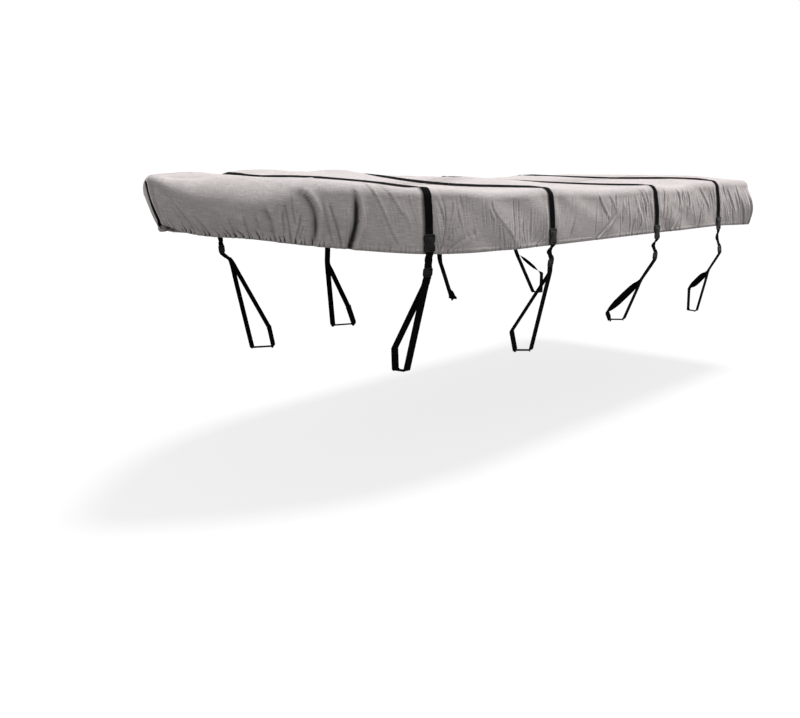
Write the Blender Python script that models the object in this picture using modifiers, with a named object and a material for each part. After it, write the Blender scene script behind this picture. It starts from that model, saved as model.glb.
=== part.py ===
"""Fitted cover for a boat on its trailer: one cloth shell with a gathered hem, and four webbing straps over it.

Metres, +Z up. +X runs from the stem to the transom, and -Y is the port side. The origin lies on the underside of
the cloth, on the centreline at mid-length. The boat and the trailer are left out.
"""

import math
from collections import namedtuple

import bmesh
import bpy
from mathutils import Matrix, Vector

# Driving dimensions
COVER_LENGTH = 7.07
TOP_HALF_WIDTH = 1.24
NOSE_LENGTH = 2.9        # length of the rounded bow in plan
NOSE_FULLNESS = 2.4
NOSE_POINT = 0.78        # 0.5 would be a round nose, 1 a sharp one
STERN_RADIUS = 0.22
STERN_TAPER = 0.03       # how much narrower the stern is, per side
CLOTH = 0.0025
STEM_RAKE = -0.11        # the hem stands this far inside the top's outline at the stem
HEM_FLARE = 0.020        # and this far outside it along the body
WALL_BULGE = 0.008
STERN_BULGE = 0.05
TOP_POWER = 2.6          # how flat the top is before it falls to the shoulders

WEB_WIDTH = 0.064
WEB_THICK = 0.0018
WEB_GAP = 0.0022         # clear of the cloth
STRAP_FLAT = 0.055       # half width of the flat that a strap pulls in the cloth

BOW = -COVER_LENGTH / 2
STERN = COVER_LENGTH / 2

# Along the boat: height of the top on its centreline, how far it falls to the shoulder, the shoulder's radius from
# the wall into the top, and the height of the hem
Section = namedtuple("Section", "x top drop shoulder hem")
SECTIONS = (
    Section(BOW, 0.145, 0.000, 0.060, -0.170),
    Section(-3.36, 0.162, 0.044, 0.150, -0.240),
    Section(-3.10, 0.160, 0.019, 0.200, -0.268),
    Section(-2.75, 0.111, 0.017, 0.130, -0.324),
    Section(-1.953, 0.058, -0.021, 0.085, -0.420),
    Section(-1.25, -0.007, -0.014, 0.080, -0.450),
    Section(-0.58, 0.009, 0.019, 0.080, -0.466),
    Section(0.00, 0.0216, 0.069, 0.080, -0.480),
    Section(1.187, -0.100, -0.017, 0.080, -0.507),
    Section(1.90, -0.134, 0.031, 0.080, -0.528),
    Section(2.559, -0.089, 0.021, 0.080, -0.545),
    Section(3.20, -0.103, 0.019, 0.080, -0.580),
    Section(STERN, -0.119, 0.026, 0.075, -0.600),
)

# Soft swellings and hollows of the top, the last four under the straps
Swell = namedtuple("Swell", "x y long wide height")
SWELLS = (
    Swell(-2.80, -0.70, 0.32, 0.30, 0.038),
    Swell(-2.00, -1.00, 0.30, 0.30, -0.038),
    Swell(-2.20, 0.75, 0.40, 0.40, -0.068),
    Swell(-1.66, 0.85, 0.22, 0.45, 0.032),
    Swell(-1.30, -0.60, 0.55, 0.60, -0.047),
    Swell(-1.20, 0.75, 0.60, 0.50, 0.076),
    Swell(-0.85, 0.80, 0.18, 0.38, 0.027),
    Swell(0.10, 0.35, 0.35, 0.40, -0.032),
    Swell(0.30, -0.70, 0.60, 0.50, -0.044),
    Swell(1.85, 0.60, 0.40, 0.55, 0.061),
    Swell(1.85, -0.70, 0.40, 0.50, 0.059),
    Swell(2.10, -1.05, 0.35, 0.30, 0.050),
    Swell(2.95, 0.75, 0.34, 0.50, -0.060),
    Swell(3.00, -0.60, 0.35, 0.50, 0.019),
    Swell(-1.953, 0.10, 0.20, 0.90, 0.020),
    Swell(-0.58, -0.10, 0.26, 0.80, -0.037),
    Swell(1.187, -0.10, 0.28, 0.80, 0.001),
    Swell(2.559, 0.05, 0.28, 0.70, -0.029),
)

# Folds in the wall. top and foot are places along the side at the fold's two ends, bend pushes its middle aft,
# upper and lower are fractions of the wall's height, ridge stands proud and trough lies on the fold's bow side.
Fold = namedtuple("Fold", "top foot bend upper lower ridge trough wide")
PORT_FOLDS = (
    Fold(-3.16, -3.16, 0.00, 0.62, 0.00, 0.016, 0.008, 0.045),
    Fold(-3.05, -3.04, 0.00, 0.74, 0.00, 0.018, 0.012, 0.040),
    Fold(-2.93, -2.84, 0.03, 0.84, 0.00, 0.022, 0.045, 0.060),
    Fold(-2.75, -2.69, 0.00, 0.64, 0.05, 0.012, 0.020, 0.060),
    Fold(-2.59, -2.58, 0.05, 0.92, 0.00, 0.026, 0.060, 0.060),
    Fold(-2.50, -2.17, 0.00, 0.98, 0.00, 0.018, 0.010, 0.050),
    Fold(-2.43, -2.14, 0.00, 0.98, 0.42, 0.014, 0.008, 0.045),
    Fold(-1.74, -1.86, 0.03, 0.84, 0.00, 0.006, 0.018, 0.040),
    Fold(-1.50, -1.80, 0.00, 0.60, 0.00, 0.008, 0.016, 0.045),
    Fold(-1.32, -1.08, -0.02, 0.86, 0.08, 0.014, 0.006, 0.045),
    Fold(-1.08, -1.08, 0.00, 0.84, 0.05, 0.004, 0.014, 0.035),
    Fold(-0.84, -0.92, 0.02, 0.60, 0.00, 0.006, 0.014, 0.045),
    Fold(-0.40, -0.50, 0.00, 0.55, 0.10, 0.010, 0.012, 0.045),
    Fold(0.16, 0.17, 0.10, 0.92, 0.00, 0.013, 0.008, 0.055),
    Fold(0.34, 0.22, 0.15, 0.92, 0.00, 0.014, 0.010, 0.055),
    Fold(0.53, 0.56, 0.06, 0.92, 0.00, 0.012, 0.010, 0.055),
    Fold(0.80, 0.80, 0.03, 0.92, 0.00, 0.016, 0.010, 0.050),
    Fold(0.98, 1.04, 0.00, 0.90, 0.00, 0.012, 0.010, 0.045),
    Fold(1.40, 1.43, 0.00, 0.92, 0.00, 0.008, 0.018, 0.050),
    Fold(1.64, 1.75, 0.08, 0.94, 0.00, 0.014, 0.010, 0.060),
    Fold(2.13, 2.13, 0.00, 0.45, 0.00, 0.010, 0.024, 0.050),
    Fold(2.22, 2.36, 0.00, 0.88, 0.20, 0.012, 0.008, 0.050),
    Fold(2.80, 2.95, 0.00, 0.86, 0.00, 0.014, 0.010, 0.060),
    Fold(3.14, 3.24, 0.00, 0.80, 0.00, 0.012, 0.010, 0.055),
)
STARBOARD_FOLDS = (
    Fold(-3.10, -3.08, 0.00, 0.70, 0.00, 0.016, 0.012, 0.045),
    Fold(-2.86, -2.78, 0.02, 0.84, 0.00, 0.020, 0.032, 0.060),
    Fold(-2.46, -2.52, 0.04, 0.90, 0.00, 0.022, 0.040, 0.060),
    Fold(-2.28, -2.16, 0.00, 0.94, 0.10, 0.016, 0.008, 0.050),
    Fold(-1.66, -1.80, 0.02, 0.80, 0.00, 0.008, 0.018, 0.045),
    Fold(-1.30, -1.16, 0.00, 0.86, 0.05, 0.014, 0.008, 0.050),
    Fold(-0.88, -0.92, 0.00, 0.70, 0.00, 0.006, 0.014, 0.045),
    Fold(-0.12, -0.20, 0.04, 0.80, 0.00, 0.012, 0.010, 0.055),
    Fold(0.42, 0.34, 0.08, 0.90, 0.00, 0.014, 0.010, 0.055),
    Fold(0.86, 0.92, 0.00, 0.92, 0.00, 0.014, 0.010, 0.050),
    Fold(1.50, 1.58, 0.04, 0.92, 0.00, 0.010, 0.016, 0.055),
    Fold(2.02, 2.12, 0.00, 0.85, 0.00, 0.012, 0.014, 0.055),
    Fold(2.84, 2.92, 0.00, 0.86, 0.00, 0.014, 0.010, 0.060),
    Fold(3.16, 3.20, 0.00, 0.80, 0.00, 0.012, 0.010, 0.055),
)
# On the transom the place along is the distance from the centreline
TRANSOM_FOLDS = (
    Fold(-0.92, -0.96, 0.03, 0.80, 0.00, 0.012, 0.016, 0.070),
    Fold(-0.38, -0.30, 0.00, 0.85, 0.00, 0.014, 0.008, 0.080),
    Fold(0.30, 0.38, -0.03, 0.80, 0.00, 0.010, 0.014, 0.080),
    Fold(0.88, 0.94, 0.00, 0.80, 0.00, 0.014, 0.010, 0.070),
)
# Near the stem the place along is the distance from the centreline too
NOSE_FOLDS = (
    Fold(0.14, 0.22, 0.00, 0.60, 0.00, 0.012, 0.006, 0.035),
    Fold(0.27, 0.36, 0.00, 0.50, 0.00, 0.012, 0.008, 0.040),
)
NOSE_FOLDS_END = -3.22

# Spacing of the cloth's columns along the side, closer where the folds are
Run = namedtuple("Run", "start step")
RUNS = (
    Run(-3.06, 0.072),
    Run(-2.14, 0.100),
    Run(-1.35, 0.130),
    Run(-0.20, 0.140),
    Run(1.35, 0.155),
)
NOSE_STATIONS = (0.0, 0.020, 0.060, 0.115, 0.180, 0.250, 0.325, 0.400)    # along the boat, from the stem
CORNER_TURNS = (0.0, 30.0, 60.0, 90.0)
TRANSOM_SHARES = (0.80, 0.58, 0.36, 0.16, 0.0)
WALL_STEPS = (0.0, 0.13, 0.30, 0.48, 0.66, 0.84, 1.0)
SHOULDER_TURNS = (30.0, 60.0, 90.0)
TOP_STEPS = (0.20, 0.45, 0.72, 1.0)

# The hem turns in under the gunwale: distance in from the wall, and height over the hem's lowest line
HemTurn = namedtuple("HemTurn", "inward height")
HEM_TURNS = (HemTurn(0.042, 0.012), HemTurn(0.020, -0.006))
HEM_ROUND = 0.012

# Straps, stem to stern, with the adjusters' places on the port side. Starboard mirrors them.
StrapPlace = namedtuple("StrapPlace", "name x buckle_z adjuster_x adjuster_y adjuster_z bow_in")
STRAPS = (
    StrapPlace("a", -1.953, -0.345, -1.955, -1.100, -0.556, 0.004),
    StrapPlace("b", -0.580, -0.398, -0.552, -1.235, -0.612, 0.026),
    StrapPlace("c", 1.187, -0.500, 1.190, -1.255, -0.722, 0.030),
    StrapPlace("d", 2.559, -0.520, 2.570, -1.262, -0.787, 0.020),
)
# A loop's two layers part, then go down to the outer bottom of the rail and to the inner top of it. The rail's
# inner bottom lies between. Distances out are from the centreline.
Loop = namedtuple("Loop", "tag part_x part_out part_z foot_x foot_out foot_z under_x back_x back_z turn")
LOOPS = (
    Loop("port_a", -1.960, 1.080, -0.650, -1.789, 0.768, -1.348, -1.800, -1.808, -1.183, 0.0),
    Loop("port_b", -0.548, 1.222, -0.700, -0.475, 1.008, -1.367, -0.556, -0.610, -1.200, 0.0),
    Loop("port_c", 1.092, 1.170, -0.943, 1.084, 1.008, -1.328, 1.004, 0.950, -1.252, 62.0),
    Loop("port_d", 2.526, 1.170, -1.006, 2.636, 1.008, -1.457, 2.647, 2.654, -1.238, 62.0),
    Loop("starboard_a", -1.925, 1.020, -0.650, -1.935, 0.768, -1.348, -1.790, -1.835, -1.183, 0.0),
    Loop("starboard_b", -0.590, 1.190, -0.820, -0.715, 1.008, -1.367, -0.535, -0.610, -1.200, 0.0),
    Loop("starboard_c", 1.092, 1.170, -0.943, 1.084, 1.008, -1.328, 1.004, 0.950, -1.252, 62.0),
    Loop("starboard_d", 2.526, 1.170, -1.006, 2.636, 1.008, -1.457, 2.647, 2.654, -1.238, 62.0),
)
RAIL_WIDTH = 0.10
LAYER_GAP = 0.0055       # between the two layers of a loop, centre to centre

BUCKLE_LONG = 0.125
BUCKLE_WIDE = 0.094
BUCKLE_WAIST = 0.074
BUCKLE_THICK = 0.014
ADJUSTER_LONG = 0.066
ADJUSTER_WIDE = 0.082
ADJUSTER_THICK = 0.009
BUCKLE_GAP = 0.0030      # from the cloth to a buckle's back
END_GAP = 0.0010         # from a strap's end to a buckle
END_RUN = 0.016          # how far a strap runs straight out of a buckle

FoldSets = namedtuple("FoldSets", "side nose")


def smooth(value):
    value = min(max(value, 0.0), 1.0)
    return value * value * (3.0 - 2.0 * value)


def along(field, x):
    """A column of SECTIONS at x, as a smooth curve through its rows."""
    rows = SECTIONS
    x = min(max(x, rows[0].x), rows[-1].x)
    i = max(k for k in range(len(rows) - 1) if rows[k].x <= x)
    value = [getattr(row, field) for row in rows]

    def slope(k):
        low, high = max(k - 1, 0), min(k + 1, len(rows) - 1)
        return (value[high] - value[low]) / (rows[high].x - rows[low].x)

    span = rows[i + 1].x - rows[i].x
    t = (x - rows[i].x) / span
    return (
        value[i] * (2 * t**3 - 3 * t**2 + 1)
        + value[i + 1] * (3 * t**2 - 2 * t**3)
        + slope(i) * span * (t**3 - 2 * t**2 + t)
        + slope(i + 1) * span * (t**3 - t**2)
    )


def half_width(x):
    """Half the top's plan width at x."""
    share = min(max(1.0 - (x - BOW) / NOSE_LENGTH, 0.0), 1.0)
    taper = 1.0 - STERN_TAPER * smooth((x - 1.0) / (STERN - 1.0))
    return TOP_HALF_WIDTH * (1.0 - share**NOSE_FULLNESS) ** NOSE_POINT * taper


def top_height(x, y):
    """Height of the top's outer face."""
    flat = max(half_width(x) - along("shoulder", x), 0.05)
    share = min(abs(y) / flat, 1.0)
    z = along("top", x) - along("drop", x) * share**TOP_POWER
    for swell in SWELLS:
        z += swell.height * math.exp(-(((x - swell.x) / swell.long) ** 2) - ((y - swell.y) / swell.wide) ** 2)
    return z


def side_stations():
    """Places along the straight side: even runs, with three columns under each strap and one beside each edge."""
    last = STERN - STERN_RADIUS
    places = []
    for run, following in zip(RUNS, RUNS[1:] + (Run(last, 0.0),)):
        count = max(round((following.start - run.start) / run.step), 1)
        places += [run.start + (following.start - run.start) * k / count for k in range(count)]
    for strap in STRAPS:
        places = [x for x in places if abs(x - strap.x) > STRAP_FLAT + 0.03]
        places += [strap.x + offset for offset in (-STRAP_FLAT, -WEB_WIDTH / 2, 0.0, WEB_WIDTH / 2, STRAP_FLAT)]
    return sorted(places)


def port_outline():
    """The top's outline in plan from the stem down the port side to the middle of the transom."""
    nose = [BOW + station for station in NOSE_STATIONS]
    points = [(x, -half_width(x)) for x in nose + side_stations()]
    wide = half_width(STERN)
    for turn in CORNER_TURNS:
        angle = math.radians(turn)
        points.append(
            (
                STERN - STERN_RADIUS * (1.0 - math.sin(angle)),
                -wide + STERN_RADIUS * (1.0 - math.cos(angle)),
            )
        )
    points += [(STERN, -(wide - STERN_RADIUS) * share) for share in TRANSOM_SHARES]
    return points


def outward(points, i):
    """Level unit vector out of the closed outline at point i."""
    (x0, y0), (x1, y1) = points[i - 1], points[(i + 1) % len(points)]
    return Vector((y1 - y0, x0 - x1, 0.0)).normalized()


def fold_depth(folds, place, share):
    """How far the cloth stands out at a place along the side and a share of the wall's height."""
    depth = 0.0
    for fold in folds:
        run = (share - fold.lower) / (fold.upper - fold.lower)
        if run > 1.25:
            continue
        fade = smooth((1.25 - run) / 0.45)
        if fold.lower > 0.0:
            fade *= smooth((run + 0.3) / 0.4)
        centre = fold.foot + (fold.top - fold.foot) * run + fold.bend * 4.0 * run * (1.0 - run)
        off = (place - centre) / fold.wide
        depth += fade * (fold.ridge * math.exp(-off * off) - fold.trough * math.exp(-((off + 1.25) ** 2)))
    return depth


def strap_flat(x):
    """Nought under a strap, which holds the cloth flat, and one away from it."""
    nearest = min(abs(x - strap.x) for strap in STRAPS)
    return smooth((nearest - STRAP_FLAT) / 0.06)


def folds_at(x, y, share):
    if x > STERN - STERN_RADIUS * 0.5:
        return fold_depth(TRANSOM_FOLDS, y, share)
    side = fold_depth(PORT_FOLDS if y < 0.0 else STARBOARD_FOLDS, x, share)
    nose = fold_depth(NOSE_FOLDS, abs(y), share) if x < NOSE_FOLDS_END else 0.0
    return side * strap_flat(x) + nose


def spine_place(x, y):
    """Where on the centreline the column that starts at (x, y) ends."""
    nose, tail = -2.55, 2.85
    if x < nose:
        return nose + (x - nose) * 0.52
    if x > tail:
        way = (x - tail) + (half_width(STERN) - abs(y))
        return tail + 0.30 * way / (STERN - tail + half_width(STERN))
    return x


def cloth_column(x, y, out):
    """Points of one column of the cloth, from the hem's inner edge up the wall and over to the centreline."""
    radius = along("shoulder", x)
    inner = Vector((x, y, 0.0)) - out * radius
    edge_z = top_height(inner.x, inner.y)
    hem_z = along("hem", x)
    flare = STEM_RAKE + (HEM_FLARE - STEM_RAKE) * smooth((x - BOW) / 1.5)
    bulge = WALL_BULGE + (STERN_BULGE - WALL_BULGE) * smooth((x - 2.7) / 0.8)
    wall_top = edge_z - radius
    base = Vector((x, y, 0.0))

    def wall_point(share, shift, height):
        push = flare * (1.0 - share) + bulge * math.sin(math.pi * min(share * 1.05, 1.0))
        point = base + out * (push + shift + folds_at(x, y, share))
        point.z = height
        return point

    column = [wall_point(0.0, -turn.inward, hem_z + turn.height) for turn in HEM_TURNS]
    low = hem_z + HEM_ROUND
    column += [wall_point(share, 0.0, low + (wall_top - low) * share) for share in WALL_STEPS]
    for turn in SHOULDER_TURNS:
        angle = math.radians(turn)
        reach = radius * (1.0 - math.cos(angle)) - folds_at(x, y, 1.0) * math.cos(angle)
        point = base - out * reach
        point.z = wall_top + radius * math.sin(angle)
        column.append(point)
    end = Vector((spine_place(x, y), 0.0, 0.0))
    for step in TOP_STEPS:
        point = inner.lerp(end, step)
        point.z = top_height(point.x, point.y)
        column.append(point)
    return column


def cloth_columns():
    """All columns round the cover: the port half stem to transom, then the starboard half back to the stem."""
    port = port_outline()
    loop = port + [(x, -y) for x, y in port[-2:0:-1]]
    return [cloth_column(x, y, outward(loop, i)) for i, (x, y) in enumerate(loop)], len(port)


def new_material(name, colour, roughness):
    material = bpy.data.materials.new(name)
    material.use_nodes = True
    shader = material.node_tree.nodes["Principled BSDF"]
    shader.inputs["Base Color"].default_value = (*colour, 1.0)
    shader.inputs["Roughness"].default_value = roughness
    return material


def add_object(name, mesh, material, collection):
    mesh.materials.append(material)
    thing = bpy.data.objects.new(name, mesh)
    collection.objects.link(thing)
    return thing


def sheet_object(name, rows, closed, thickness, side, material, collection):
    """An open sheet through rows of points, given its thickness by Solidify. side is -1 inward, 1 outward."""
    form = bmesh.new()
    made = [[form.verts.new(point) for point in row] for row in rows]
    pairs = list(zip(made, made[1:]))
    if closed:
        pairs.append((made[-1], made[0]))
    for left, right in pairs:
        for k in range(len(left) - 1):
            form.faces.new((left[k], right[k], right[k + 1], left[k + 1]))
    bmesh.ops.remove_doubles(form, verts=form.verts, dist=0.0001)
    mesh = bpy.data.meshes.new(name)
    form.to_mesh(mesh)
    form.free()
    mesh.shade_smooth()
    thing = add_object(name, mesh, material, collection)
    solid = thing.modifiers.new("Thickness", "SOLIDIFY")
    solid.thickness = thickness
    solid.offset = side
    return thing


def make_cloth(columns, material, collection):
    return sheet_object("cover_cloth", columns, True, CLOTH, -1.0, material, collection)


def strap_columns(strap, columns, count):
    """The three columns of cloth under a strap on each side, trimmed where its buckles start."""
    port = [i for i in range(count) if abs(columns[i][8].x - strap.x) < 0.5]
    middle = min(port, key=lambda i: abs(columns[i][-1].x - strap.x))
    rows = []
    top_of_buckle = strap.buckle_z + BUCKLE_LONG / 2 + END_GAP
    total = len(columns)
    for step in (-1, 0, 1):
        near = columns[middle + step]
        far = columns[(total - (middle + step)) % total]
        rows.append(trimmed(near, top_of_buckle) + trimmed(far, top_of_buckle)[-2::-1])
    return rows


def trimmed(column, height):
    """The part of a column over a height, started at that height."""
    wall = column[len(HEM_TURNS):]
    start = next(k for k, point in enumerate(wall) if point.z > height)
    low, high = wall[start - 1], wall[start]
    return [low.lerp(high, (height - low.z) / (high.z - low.z))] + wall[start:]


def make_top_strap(strap, columns, count, material, collection):
    rows = strap_columns(strap, columns, count)
    lifted = [list(row) for row in rows]
    for k in range(len(rows[0])):
        before, after = max(k - 1, 0), min(k + 1, len(rows[0]) - 1)
        run = rows[1][after] - rows[1][before]
        across = rows[2][k] - rows[0][k]
        up = across.cross(run).normalized()
        for row in lifted:
            row[k] = row[k] + up * WEB_GAP
    return sheet_object("top_strap_" + strap.name, lifted, False, WEB_THICK, 1.0, material, collection)


def wall_frame(strap, columns, side):
    """The middle of a buckle against the wall, and its axes down and out."""
    total = len(columns)
    middle = min(range(total // 2), key=lambda i: abs(columns[i][-1].x - strap.x))
    wall = []
    for step in (-2, -1, 0, 1, 2):
        i = middle + step
        wall.append(columns[i if side < 0 else (total - i) % total][len(HEM_TURNS):])
    down = (wall[2][0] - wall[2][2]).normalized()
    across = wall[4][1] - wall[0][1]
    out = (down.cross(across) * -side).normalized()
    low = wall[2][0]
    at = low + down * ((strap.buckle_z - low.z) / down.z)
    proud = max((point - at).dot(out) for column in wall for point in column[:4])
    return at + out * (max(proud, 0.0) + BUCKLE_GAP + BUCKLE_THICK / 2), down, out


def plate_object(name, outline, thick, centre, down, out, material, collection):
    """A flat moulded piece: an outline of (across, down) points, given its thickness along out."""
    across = down.cross(out).normalized()
    form = bmesh.new()
    face = form.faces.new([form.verts.new((u, v, -thick / 2)) for u, v in outline])
    made = bmesh.ops.extrude_face_region(form, geom=[face])
    lifted = [item for item in made["geom"] if isinstance(item, bmesh.types.BMVert)]
    bmesh.ops.translate(form, verts=lifted, vec=(0.0, 0.0, thick))
    bmesh.ops.recalc_face_normals(form, faces=form.faces)
    place = Matrix((across, down, out)).transposed().to_4x4()
    place.translation = centre
    mesh = bpy.data.meshes.new(name)
    form.to_mesh(mesh)
    form.free()
    thing = add_object(name, mesh, material, collection)
    thing.matrix_world = place
    return thing


def mirrored_outline(half):
    """A whole outline from its right-hand half, top to bottom."""
    return [(u, v) for u, v in half] + [(-u, v) for u, v in reversed(half)]


def buckle_outline():
    long, wide, waist = BUCKLE_LONG / 2, BUCKLE_WIDE / 2, BUCKLE_WAIST / 2
    half = [
        (wide - 0.008, -long),
        (wide, -long + 0.010),
        (wide, -0.012),
        (waist, 0.004),
        (waist, 0.018),
        (wide, 0.030),
        (wide, long - 0.010),
        (wide - 0.008, long),
    ]
    return mirrored_outline(half)


def adjuster_outline():
    long, wide = ADJUSTER_LONG / 2, ADJUSTER_WIDE / 2
    half = [(wide - 0.008, -long), (wide, -long + 0.008), (wide, long - 0.014), (wide - 0.014, long)]
    return mirrored_outline(half)


def ribbon_object(name, points, level, turns, material, collection):
    """A flat strap along points. Its width follows level, turned about its own line by turns, in degrees."""
    edges = [[], []]
    for k, point in enumerate(points):
        run = (points[min(k + 1, len(points) - 1)] - points[max(k - 1, 0)]).normalized()
        across = (level - run * level.dot(run)).normalized()
        across = Matrix.Rotation(math.radians(turns[k]), 3, run) @ across
        edges[0].append(point - across * WEB_WIDTH / 2)
        edges[1].append(point + across * WEB_WIDTH / 2)
    return sheet_object(name, edges, False, WEB_THICK, 0.0, material, collection)


def bent(corner, before, after, radius, steps):
    """A rounded corner between two straight runs."""
    start = corner + (before - corner).normalized() * radius
    end = corner + (after - corner).normalized() * radius
    points = []
    for k in range(steps + 1):
        t = k / steps
        points.append(start.lerp(corner, t).lerp(corner.lerp(end, t), t))
    return points


def make_link(strap, tag, side, ends, level, material, collection):
    """The short strap from a buckle to its adjuster, slack enough to bow in under the hem."""
    (start, down), (end, hang) = ends
    first, last = start + down * END_RUN, end - hang * END_RUN
    points = [start]
    steps = 9
    for k in range(steps + 1):
        t = k / steps
        point = first.lerp(last, t)
        point.y -= side * strap.bow_in * math.sin(math.pi * t) ** 1.5
        points.append(point)
    points.append(end)
    return ribbon_object("link_strap_" + tag, points, level, [0.0] * len(points), material, collection)


def make_loop(loop, side, end, level, material, collection):
    """A tie-down loop: down outside the rail, under it, up its inner face and back to the adjuster."""
    top, hang = end
    layer = Vector((0.0, side, 0.0))
    layer = (layer - hang * layer.dot(hang)).normalized() * (LAYER_GAP / 2)
    part = Vector((loop.part_x, side * loop.part_out, loop.part_z))
    foot = Vector((loop.foot_x, side * loop.foot_out, loop.foot_z))
    under = Vector((loop.under_x, side * (loop.foot_out - RAIL_WIDTH), loop.foot_z))
    back = Vector((loop.back_x, side * (loop.foot_out - RAIL_WIDTH), loop.back_z))
    first = top + hang * END_RUN
    points = [top + layer, first + layer, first.lerp(part, 0.5) + layer, part + layer]
    points += [(part + layer).lerp(foot, t) for t in (0.33, 0.66)]
    points += bent(foot, part, under, 0.012, 3)
    points += bent(under, foot, back, 0.012, 3)
    points += bent(back, under, part, 0.010, 2)
    flat = len(points)
    points += [back.lerp(part - layer, t) for t in (0.15, 0.30, 0.5, 0.70, 0.85)]
    points += [part - layer, first.lerp(part, 0.5) - layer, first - layer, top - layer]
    turns = [0.0] * flat + [loop.turn * share * side for share in (0.5, 0.9, 1.0, 0.9, 0.5)] + [0.0] * 4
    return ribbon_object("tie_loop_" + loop.tag, points, level, turns, material, collection)


def make_rigging(strap, columns, materials, collection):
    """The buckles, link strap and tie-down loop at both ends of one strap."""
    webbing, plastic = materials
    for side, word in ((-1.0, "port"), (1.0, "starboard")):
        tag = word + "_" + strap.name
        at, down, out = wall_frame(strap, columns, side)
        level = Vector((-out.y, out.x, 0.0)).normalized()
        plate_object("upper_buckle_" + tag, buckle_outline(), BUCKLE_THICK, at, down, out, plastic, collection)
        centre = Vector((strap.adjuster_x, -side * strap.adjuster_y, strap.adjuster_z))
        start = at + down * (BUCKLE_LONG / 2 + END_GAP)
        hang = (centre - start).normalized()
        face = (out - hang * out.dot(hang)).normalized()
        outline = adjuster_outline()
        plate_object("lower_buckle_" + tag, outline, ADJUSTER_THICK, centre, hang, face, plastic, collection)
        reach = hang * (ADJUSTER_LONG / 2 + END_GAP)
        make_link(strap, tag, side, ((start, down), (centre - reach, hang)), level, webbing, collection)
        loop = next(row for row in LOOPS if row.tag == tag)
        make_loop(loop, side, (centre + reach, hang), level, webbing, collection)


def main():
    for thing in list(bpy.data.objects):
        bpy.data.objects.remove(thing)
    collection = bpy.data.collections.new("boat_cover")
    bpy.context.scene.collection.children.link(collection)
    cloth = new_material("heathered_grey_cloth", (0.35, 0.33, 0.325), 0.85)
    webbing = new_material("black_webbing", (0.012, 0.012, 0.012), 0.75)
    plastic = new_material("black_moulded_plastic", (0.018, 0.018, 0.019), 0.45)
    columns, count = cloth_columns()
    make_cloth(columns, cloth, collection)
    for strap in STRAPS:
        make_top_strap(strap, columns, count, webbing, collection)
        make_rigging(strap, columns, (webbing, plastic), collection)


main()
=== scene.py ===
import math

import bmesh
import bpy
import numpy as np
from mathutils import Matrix, Vector


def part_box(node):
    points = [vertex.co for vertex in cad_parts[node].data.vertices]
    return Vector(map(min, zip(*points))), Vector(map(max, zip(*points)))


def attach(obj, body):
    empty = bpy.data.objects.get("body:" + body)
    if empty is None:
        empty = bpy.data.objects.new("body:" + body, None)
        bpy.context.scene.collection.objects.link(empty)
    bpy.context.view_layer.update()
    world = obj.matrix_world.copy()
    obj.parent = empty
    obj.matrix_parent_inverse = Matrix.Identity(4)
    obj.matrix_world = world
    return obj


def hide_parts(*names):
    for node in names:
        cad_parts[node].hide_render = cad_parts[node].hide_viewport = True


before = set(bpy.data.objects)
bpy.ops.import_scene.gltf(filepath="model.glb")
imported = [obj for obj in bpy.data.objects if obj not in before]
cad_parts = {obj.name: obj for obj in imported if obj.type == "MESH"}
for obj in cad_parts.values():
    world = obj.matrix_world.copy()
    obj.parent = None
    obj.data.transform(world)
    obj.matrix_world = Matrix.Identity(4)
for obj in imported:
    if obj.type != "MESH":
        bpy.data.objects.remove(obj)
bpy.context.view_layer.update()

# +X runs from the stem to the transom, the port side faces -Y, and all sizes are metres

coverSize = {
    "bow": -3.535,
    "stern": 3.535,
    "halfWidth": 1.24,
    "noseLength": 2.9,
    "noseFullness": 2.4,
    "nosePoint": 0.78,
    "sternRadius": 0.22,
    "sternTaper": 0.03,
    "stemRake": -0.11,       # the hem stands inside the top's outline at the stem
    "stemHold": 0.42,        # so the two panels never cross at the stem
    "hemFlare": 0.020,
    "rakeRun": 1.5,          # how far aft the rake turns into the flare
    "wallBulge": 0.008,
    "sternBulge": 0.05,
    "bulgeFrom": 2.7,
    "bulgeRun": 0.8,
    "topPower": 2.6,
    "clothThick": 0.0016,
    "columns": {"port": 1180, "starboard": 900},
    # how closely the columns stand along x, as closer ones draw a sharper crease
    "density": ((-3.54, 2.2), (-2.25, 2.2), (-2.0, 1.3), (-0.8, 1.2), (-0.2, 0.8), (0.4, 1.1), (3.54, 1.1)),
    "hemTunnel": 0.0030,     # how proud the cord tunnel stands at the hem
    "tunnelHigh": 0.062,     # as a share of the wall's height
}

# along the boat: x, height of the top, fall to the shoulder, shoulder radius, height of the hem
sections = np.array((
    (-3.535, 0.156, 0.006, 0.038, -0.170),
    (-3.360, 0.162, 0.044, 0.125, -0.240),
    (-3.100, 0.160, 0.019, 0.210, -0.268),
    (-2.750, 0.111, 0.017, 0.105, -0.324),
    (-1.953, 0.058, -0.021, 0.060, -0.420),
    (-1.250, -0.007, -0.014, 0.065, -0.450),
    (-0.580, 0.009, 0.019, 0.065, -0.466),
    (0.000, 0.0216, 0.069, 0.065, -0.480),
    (1.187, -0.100, -0.017, 0.065, -0.507),
    (1.900, -0.134, 0.031, 0.065, -0.528),
    (2.559, -0.089, 0.021, 0.065, -0.545),
    (3.200, -0.103, 0.019, 0.065, -0.580),
    (3.535, -0.119, 0.026, 0.075, -0.600),
))
topColumn, dropColumn, shoulderColumn, hemColumn = 1, 2, 3, 4

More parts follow.
